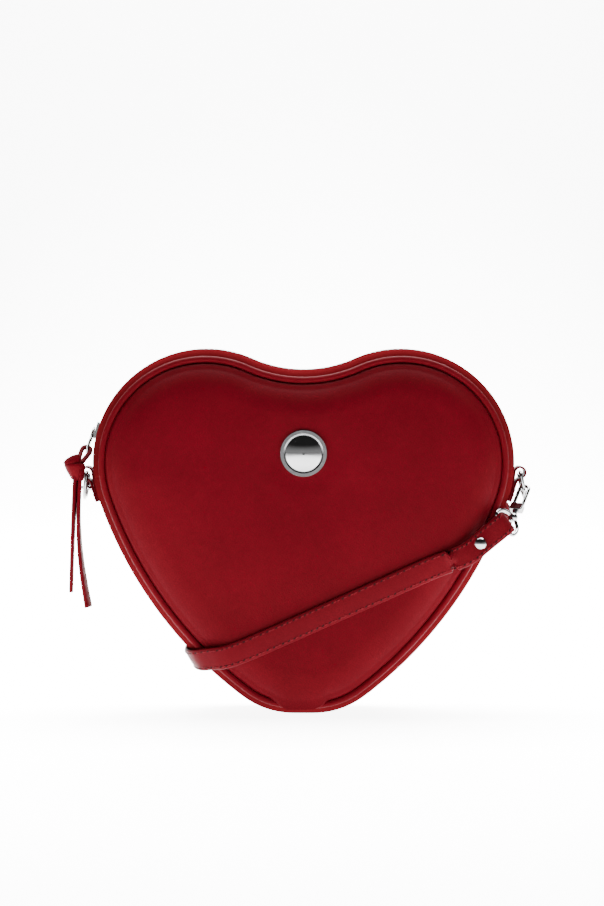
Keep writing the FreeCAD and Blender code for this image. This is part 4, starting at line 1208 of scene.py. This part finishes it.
def strap_end(name):
    """Points from the strap's hidden end, round the ring's bar, to just past the rivet."""
    bar, along, across, out = strap_frame(name)
    spread = [(RIVET_REACH + FOLD_END, FOLD_HALF), (RIVET_REACH, FOLD_HALF)]
    lifts = (FOLD_HALF + FOLD_SLACK, FOLD_BEND - FOLD_NIP)
    spread += [(share * RIVET_REACH, lift) for share, lift in zip(FOLD_SHARES, lifts)]
    points = [bar + along * reach - out * lift for reach, lift in spread]
    for step in range(FOLD_STEPS + 1):
        angle = math.pi * step / FOLD_STEPS
        points.append(bar - (out * math.cos(angle) + along * math.sin(angle)) * FOLD_BEND)
    points += [bar + along * reach + out * lift for reach, lift in spread[::-1]]
    return [(point, across) for point in points]


def strap_route():
    """The strap's three runs: front and lower left, back and hairpin, and up to the left ring."""
    s = sizes()
    seam = Seam()
    slope = math.tan(s.belt_slope)
    half = s.lobe_offset + s.lobe_radius
    face = s.seam_half + s.roll_rise + STRAP_GAP + s.strap_wall / 2

    def belt(x, depth, lift=0.0, more=0.0):
        angle = s.belt_slope + math.radians(more)
        spot = Vector((x, depth, s.belt_height + slope * x + lift))
        return spot, Vector((-math.sin(angle), 0, math.cos(angle)))

    centre = seam.left_side.centre
    drop = s.belt_height + s.wrap_lift - centre.z
    square, middle = 1 + slope**2, slope * drop - centre.x
    out = s.gusset_rise + WRAP_GAP + s.strap_wall / 2
    rest = centre.x**2 + drop**2 - (s.side_radius + out) ** 2
    edge = (-middle - math.sqrt(middle**2 - square * rest)) / square
    front = strap_end("right") + [belt(share * half, -face) for share in FRONT_RUN]
    for way, steps in ((-1, WRAP), (1, WRAP[::-1])):
        for inward, share, lift, more in steps:
            x = edge + inward * s.roll_width
            front.append(belt(x, way * share * face, lift * s.wrap_lift, more))
    front += [belt(share * half, face) for share in BACK_RUN]
    rear = [belt(share * half, face, lift * MM, more) for share, lift, more in BACK_CLIMB]
    for step in range(1, HAIRPIN_STEPS):
        angle = math.pi * step / HAIRPIN_STEPS
        x = half - MM + HAIRPIN_LONG * HAIRPIN_BEND * math.sin(angle)
        depth = face + HAIRPIN_BEND * (HAIRPIN_START - math.cos(angle))
        spot = Vector((x, depth, s.lobe_height + (step / 4 - HAIRPIN_LOW) * MM))
        rear.append((spot, Vector((-0.3 + 0.03 * step, 0, 1))))
    returning = []
    for share, behind, climb in LAST_RUN:
        spot = Vector((share * half, face + behind * MM, s.lobe_height + climb * MM))
        returning.append((spot, Vector((0.06, 0, 1))))
    return front, rear, returning + strap_end("left")[::-1]


def strap_stitches(run):
    """Places for two rows of stitches on each face of a run of the strap."""
    s = sizes()
    aside, lift = s.strap_wide / 2 - STITCH_EDGE, s.strap_wall / 2 - STRAP_STITCH_SINK
    gone = 0.0
    for (spot, along, across), (after, *_) in zip(run, run[1:]):
        gone += (after - spot).length
        if gone < s.stitch_pitch:
            continue
        gone -= s.stitch_pitch
        for way in (-1, 1):
            for face in (-1, 1):
                out = along.cross(across) * face
                yield frame_at(spot + across * way * aside + out * lift, along, out)


class HEARTPURSE_OT_strap(bpy.types.Operator):
    """Makes the long strap, wrapped round the purse, with its two rows of stitches"""

    bl_idname = "heart_purse.strap"
    bl_label = "Strap"

    def execute(self, context):
        s = sizes()
        front, rear, returning = strap_route()
        route = eased(front + rear + returning, STRAP_SPACING)

        def nearest(point):
            return min(range(len(route)), key=lambda i: (route[i][0] - point[0]).length)

        first, second = nearest(front[-1]), nearest(returning[LAST_RUN_SPLIT])
        runs = {
            "strap_front_run": (route[: first + 1], "right"),
            "strap_back_run": (route[first : second + 1], None),
            "strap_left_run": (route[second:], "left"),
        }
        section = strip_section(s.strap_wide, s.strap_wall, crown=0.25 * MM, edge=0.55 * MM)
        for name, (run, side) in runs.items():
            piece = ribbon(name, run, section)
            body = None if side else "bag"
            stitch = stitch_model(s.stitch_pitch, STRAP_THREAD)
            row = sewn(name + "_stitches", stitch, strap_stitches(run), "strap_leather", body)
            dress(piece, "strap_leather", body, "strap", angle=50)
            if side:
                start, end = Vector(STRAP_HOLDS[side]), strap_frame(side)[0]
                for part in (piece, row):
                    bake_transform(part)
                    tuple(start)
                    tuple(end)
        return {"FINISHED"}


# Knotted leather pull: its strips, then its places in millimetres, from the puller's hole for the
# knot and the lace, and from the knot for the rest
LACE_WIDE = 2.6 * MM
LACE_WALL = 2.3 * MM
LACE_SPACING = 0.6 * MM
BAND_WALL = 1.7 * MM
BAND_SPACING = 0.9 * MM
TAIL_WIDE = 7 * MM
TAIL_WALL = 2.2 * MM
TAIL_SPACING = 1.6 * MM
KNOT = (-4.4, -8.1, -8.8)
LACE_LEG = [(11.0, 0.9), (7.0, 1.6), (3.8, 2.15)]
LACE_BEND = 2.2
LACE_STEPS = 8
BAND_STEPS = 28
CORE_SIZE = (3.2, 3.2, 4.4)
CORE_SPOT = (-1.6, 0, -0.5)
TAIL_STEPS = 6
TAIL_TOP = -3
TAIL_WAVE = 0.9
TAIL_WAVE_TURN = 2.6

# Bands round the knot, each between two ovals of (centre, wide, deep, tilt)
BANDS = {
    "turn_low": (((-0.3, 0, -8.0), 2.4, 2.3, 0), ((-2.2, 0, 0.5), 5.2, 4.6, -0.3)),
    "turn_high": (((-3.5, 0, 0.9), 3.9, 4.0, 0.2), ((-2.5, 0.3, 4.7), 2.7, 2.9, 1.5)),
}

# Tails, as (shift at the knot, end, bow to the side, twist at the knot, twist gained)
TAILS = (
    (-1.2, (-3.9, 0.0, -66.5), -0.2, 0.14, -0.2),
    (1.2, (5.1, 0.0, -74.5), -2.7, -0.15, 0.5),
)


def pull_lace(hole, knot):
    """The lace: a hairpin through the puller's hole, down into the knot."""
    to_knot = (knot - hole).normalized()
    lobe = Vector((-sizes().lobe_offset, hole.y, sizes().lobe_height))
    side = to_knot.cross((hole - lobe).normalized()).normalized()
    loop_way = side.cross(to_knot)
    loop = list(LACE_LEG)
    for step in range(LACE_STEPS + 1):
        angle = math.pi * step / LACE_STEPS
        loop.append((LACE_BEND - LACE_BEND * math.sin(angle), LACE_BEND * math.cos(angle)))
    loop += [(reach, -apart) for reach, apart in LACE_LEG[::-1]]
    trail = [(hole + (to_knot * reach + loop_way * apart) * MM, side) for reach, apart in loop]
    section = strip_section(LACE_WIDE, LACE_WALL, crown=0.1 * MM, edge=0.5 * MM)
    return ribbon("lace", eased(trail, LACE_SPACING), section)


def knot_band(name, knot):
    """A band of leather round the knot."""
    ring = []
    for step in range(BAND_STEPS):
        angle = 2 * math.pi * step / BAND_STEPS
        ends = []
        for centre, wide, deep, tilt in BANDS[name]:
            cosine = math.cos(angle)
            oval = Vector((wide * cosine, deep * math.sin(angle), tilt * cosine))
            ends.append(knot + (Vector(centre) + oval) * MM)
        ring.append(((ends[0] + ends[1]) / 2, ends[1] - ends[0]))
    wide = sum(across.length for spot, across in ring) / len(ring)
    section = strip_section(wide, BAND_WALL, crown=0.3 * MM, edge=0.45 * MM)
    return ribbon(name, eased(ring, BAND_SPACING, closed=True), section, closed=True)


def knot_core(knot):
    start_clean()
    bpy.ops.mesh.primitive_uv_sphere_add(segments=20, ring_count=12, radius=MM)
    core = named("core")
    edit_all()
    bpy.ops.transform.resize(value=CORE_SIZE, center_override=(0, 0, 0))
    bpy.ops.transform.translate(value=knot + Vector(CORE_SPOT) * MM)
    enter("OBJECT")
    return core


def pull_tail(index, knot):
    """A hanging tail of the pull, slightly bowed and twisted."""
    shift, end, bow, twist, gain = TAILS[index]
    top = knot + Vector((shift, 0, TAIL_TOP)) * MM
    tip = knot + Vector(end) * MM
    trail = []
    for step in range(TAIL_STEPS + 1):
        share = step / TAIL_STEPS
        aside = RIGHT * (math.sin(math.pi * share) * bow * MM)
        ahead = AHEAD * (TAIL_WAVE * MM * math.sin(TAIL_WAVE_TURN * share + index))
        angle = twist + gain * share
        spot = top.lerp(tip, share) + aside + ahead
        trail.append((spot, Vector((math.sin(angle), math.cos(angle), 0))))
    section = strip_section(TAIL_WIDE, TAIL_WALL, crown=0.2 * MM, edge=0.5 * MM)
    return ribbon(f"tail_{index}", eased(trail, TAIL_SPACING), section)


class HEARTPURSE_OT_pull(bpy.types.Operator):
    """Makes the zip's leather pull: a lace, a knot and two hanging tails"""

    bl_idname = "heart_purse.pull"
    bl_label = "Leather pull"

    def execute(self, context):
        hole = Vector(JOINTS["pull_swing"]["pos_m"])
        knot = hole + Vector(KNOT) * MM
        pieces = [pull_lace(hole, knot)]
        pieces += [knot_band(name, knot) for name in BANDS]
        pieces.append(knot_core(knot))
        pieces += [pull_tail(index, knot) for index in range(len(TAILS))]
        piece = joined("leather_pull_knot", pieces)
        dress(piece, "trim_leather", "leather_pull", "leather_pull")
        return {"FINISHED"}


# Metal parts, which keep their solids' shapes
SIDE_METAL = ("d_ring", "hook_frame", "hook_gate", "gate_pin", "swivel_stud", "strap_ring", "rivet")
METAL_NODES = ["zip_teeth_front", "zip_teeth_back", "zip_stop_left", "zip_stop_right"]
METAL_NODES += ["zip_slider", "zip_puller", "front_ornament", "ornament_washer"]
METAL_NODES += [f"{side}_{part}" for side, _ in SIDES for part in SIDE_METAL]


class HEARTPURSE_OT_hardware(bpy.types.Operator):
    """Gives the metal parts their polished plate"""

    bl_idname = "heart_purse.hardware"
    bl_label = "Hardware"

    def execute(self, context):
        for node in METAL_NODES:
            piece = frame["nodes"][node]
            piece.data.materials.clear()
            piece.data.materials.append(finish_named("polished_metal"))
        return {"FINISHED"}


# Stage, in metres and watts: the paper sweep, its glow, the sky, the lights and the camera
FLOOR_SIZE = 6.0
FLOOR_BACK = 1.6
SWEEP_RADIUS = 1.2
SWEEP_STEPS = 24
WALL_RISE = 2.0
GLOW_PLACE = {"Location": (0, -0.27, 0), "Scale": (1, 0.45, 0.45)}
GLOW_NEAR, GLOW_FAR = 8.5, 0.8
GLOW_FADE = (0.45, 0.95)
SKY = {"From Min": 0.15, "From Max": 0.45, "To Min": 0.9, "To Max": 0.06}
LIGHTS = (
    ("overhead", (0, 0.42, 1.35), (0, 0.25, 0), 1.8, 0.9, 240),
    ("backdrop", (0, 1.3, 2.0), (0, 2.7, 0.6), 1.8, 1.0, 340),
)
CAMERA_PITCH = math.radians(1.75)
CAMERA_AWAY = 1.5
VIEW_SIDE, VIEW_HEIGHT = -0.0008, 0.1368
VIEW_TALL = 0.471
SENSOR = 36.0


def aimed(name, data, spot, aim):
    """Puts a light or camera at a spot, looking at another."""
    thing = bpy.data.objects.new(name, data)
    thing.location = spot
    thing.rotation_euler = (Vector(aim) - Vector(spot)).to_track_quat("-Z", "Y").to_euler()
    bpy.context.scene.collection.objects.link(thing)
    return thing


def soft_light(name, spot, aim, wide, tall, power):
    light = bpy.data.lights.new(name, "AREA")
    light.shape = "RECTANGLE"
    light.size = wide
    light.size_y = tall
    light.energy = power
    aimed(name, light, spot, aim)


def paper_sweep():
    """The floor, curved up behind the purse, and lit from below near it."""
    start_clean()
    bpy.ops.mesh.primitive_plane_add(size=FLOOR_SIZE, location=(0, FLOOR_BACK - FLOOR_SIZE / 2, 0))
    floor = named("floor")
    bpy.ops.object.transform_apply(location=True)
    select_where(floor, lambda spot: spot.y > 0)
    centre = (0, FLOOR_BACK, SWEEP_RADIUS)
    bpy.ops.mesh.spin(steps=SWEEP_STEPS, angle=math.pi / 2, center=centre, axis=-RIGHT)
    bpy.ops.mesh.extrude_region_move(TRANSFORM_OT_translate={"value": UP * WALL_RISE})
    bpy.ops.mesh.select_all(action="SELECT")
    bpy.ops.mesh.remove_doubles(threshold=10 * DOUBLE)
    bpy.ops.mesh.normals_make_consistent(inside=True)
    enter("OBJECT")
    smooth(floor, 60)
    n = Nodes("floor_paper")
    tint = shade(colours().floor, 1.0)
    mottle = n.span(n.noise(8.0, 4.0), 0.0, 1.0, 0.3, 0.7)
    tone = n.mix(mottle, shade(tint, 0.985), tint)
    apart = n.add("ShaderNodeVectorMath", {0: n.mapped(**GLOW_PLACE)}, operation="LENGTH")
    glow = n.span(apart.outputs["Value"], GLOW_NEAR, GLOW_FAR, *GLOW_FADE)
    paper = n.finish(base_color=tone, roughness=0.7, emission_color=tint, emission_strength=glow)
    floor.data.materials.append(paper)


def studio_sky():
    """A white sky, brighter at the horizon than overhead."""
    world = bpy.data.worlds.new("studio")
    world.use_nodes = True
    tree = world.node_tree
    sky = tree.nodes["Background"]
    sky.inputs["Color"].default_value = (1.0, 1.0, 1.0, 1.0)
    way = tree.nodes.new("ShaderNodeTexCoord").outputs["Generated"]
    parts = tree.nodes.new("ShaderNodeSeparateXYZ")
    tree.links.new(way, parts.inputs["Vector"])
    dusk = tree.nodes.new("ShaderNodeMapRange")
    for key, value in SKY.items():
        dusk.inputs[key].default_value = value
    tree.links.new(parts.outputs["Z"], dusk.inputs["Value"])
    tree.links.new(dusk.outputs["Result"], sky.inputs["Strength"])
    bpy.context.scene.world = world


class HEARTPURSE_OT_stage(bpy.types.Operator):
    """Sets up the pale underlit floor, the sky, the soft lights and the camera"""

    bl_idname = "heart_purse.stage"
    bl_label = "Stage"

    def execute(self, context):
        paper_sweep()
        studio_sky()
        for light in LIGHTS:
            soft_light(*light)
        lens = bpy.data.cameras.new("camera")
        lens.sensor_width = SENSOR
        lens.lens = SENSOR * CAMERA_AWAY / VIEW_TALL
        middle = Vector((VIEW_SIDE, -sizes().seam_half, VIEW_HEIGHT))
        away = Vector((0, -math.cos(CAMERA_PITCH), math.sin(CAMERA_PITCH))) * CAMERA_AWAY
        context.scene.camera = aimed("camera", lens, middle + away, middle)
        return {"FINISHED"}


STEPS = (
    HEARTPURSE_OT_panels,
    HEARTPURSE_OT_piping,
    HEARTPURSE_OT_gussets,
    HEARTPURSE_OT_zip,
    HEARTPURSE_OT_lining,
    HEARTPURSE_OT_tabs,
    HEARTPURSE_OT_strap,
    HEARTPURSE_OT_pull,
    HEARTPURSE_OT_hardware,
    HEARTPURSE_OT_stage,
)


class HEARTPURSE_PT_purse(bpy.types.Panel):
    """Lists the steps that dress the purse"""

    bl_label = "Heart Purse"
    bl_idname = "HEARTPURSE_PT_purse"
    bl_space_type = "VIEW_3D"
    bl_region_type = "UI"
    bl_category = "Heart Purse"

    def draw(self, context):
        for step in STEPS:
            self.layout.operator(step.bl_idname)
        for group in (sizes(), colours()):
            for name in group.__annotations__:
                self.layout.prop(group, name)


CLASSES = (HeartPurseSizes, HeartPurseColours) + STEPS + (HEARTPURSE_PT_purse,)


def register():
    for cls in CLASSES:
        bpy.utils.register_class(cls)
    bpy.types.Scene.heart_purse_sizes = PointerProperty(type=HeartPurseSizes)
    bpy.types.Scene.heart_purse_colours = PointerProperty(type=HeartPurseColours)


def unregister():
    del bpy.types.Scene.heart_purse_colours
    del bpy.types.Scene.heart_purse_sizes
    for cls in reversed(CLASSES):
        bpy.utils.unregister_class(cls)


def main():
    register()
    for step in STEPS:
        group, name = step.bl_idname.split(".")
        getattr(getattr(bpy.ops, group), name)()


if __name__ == "__main__":
    main()
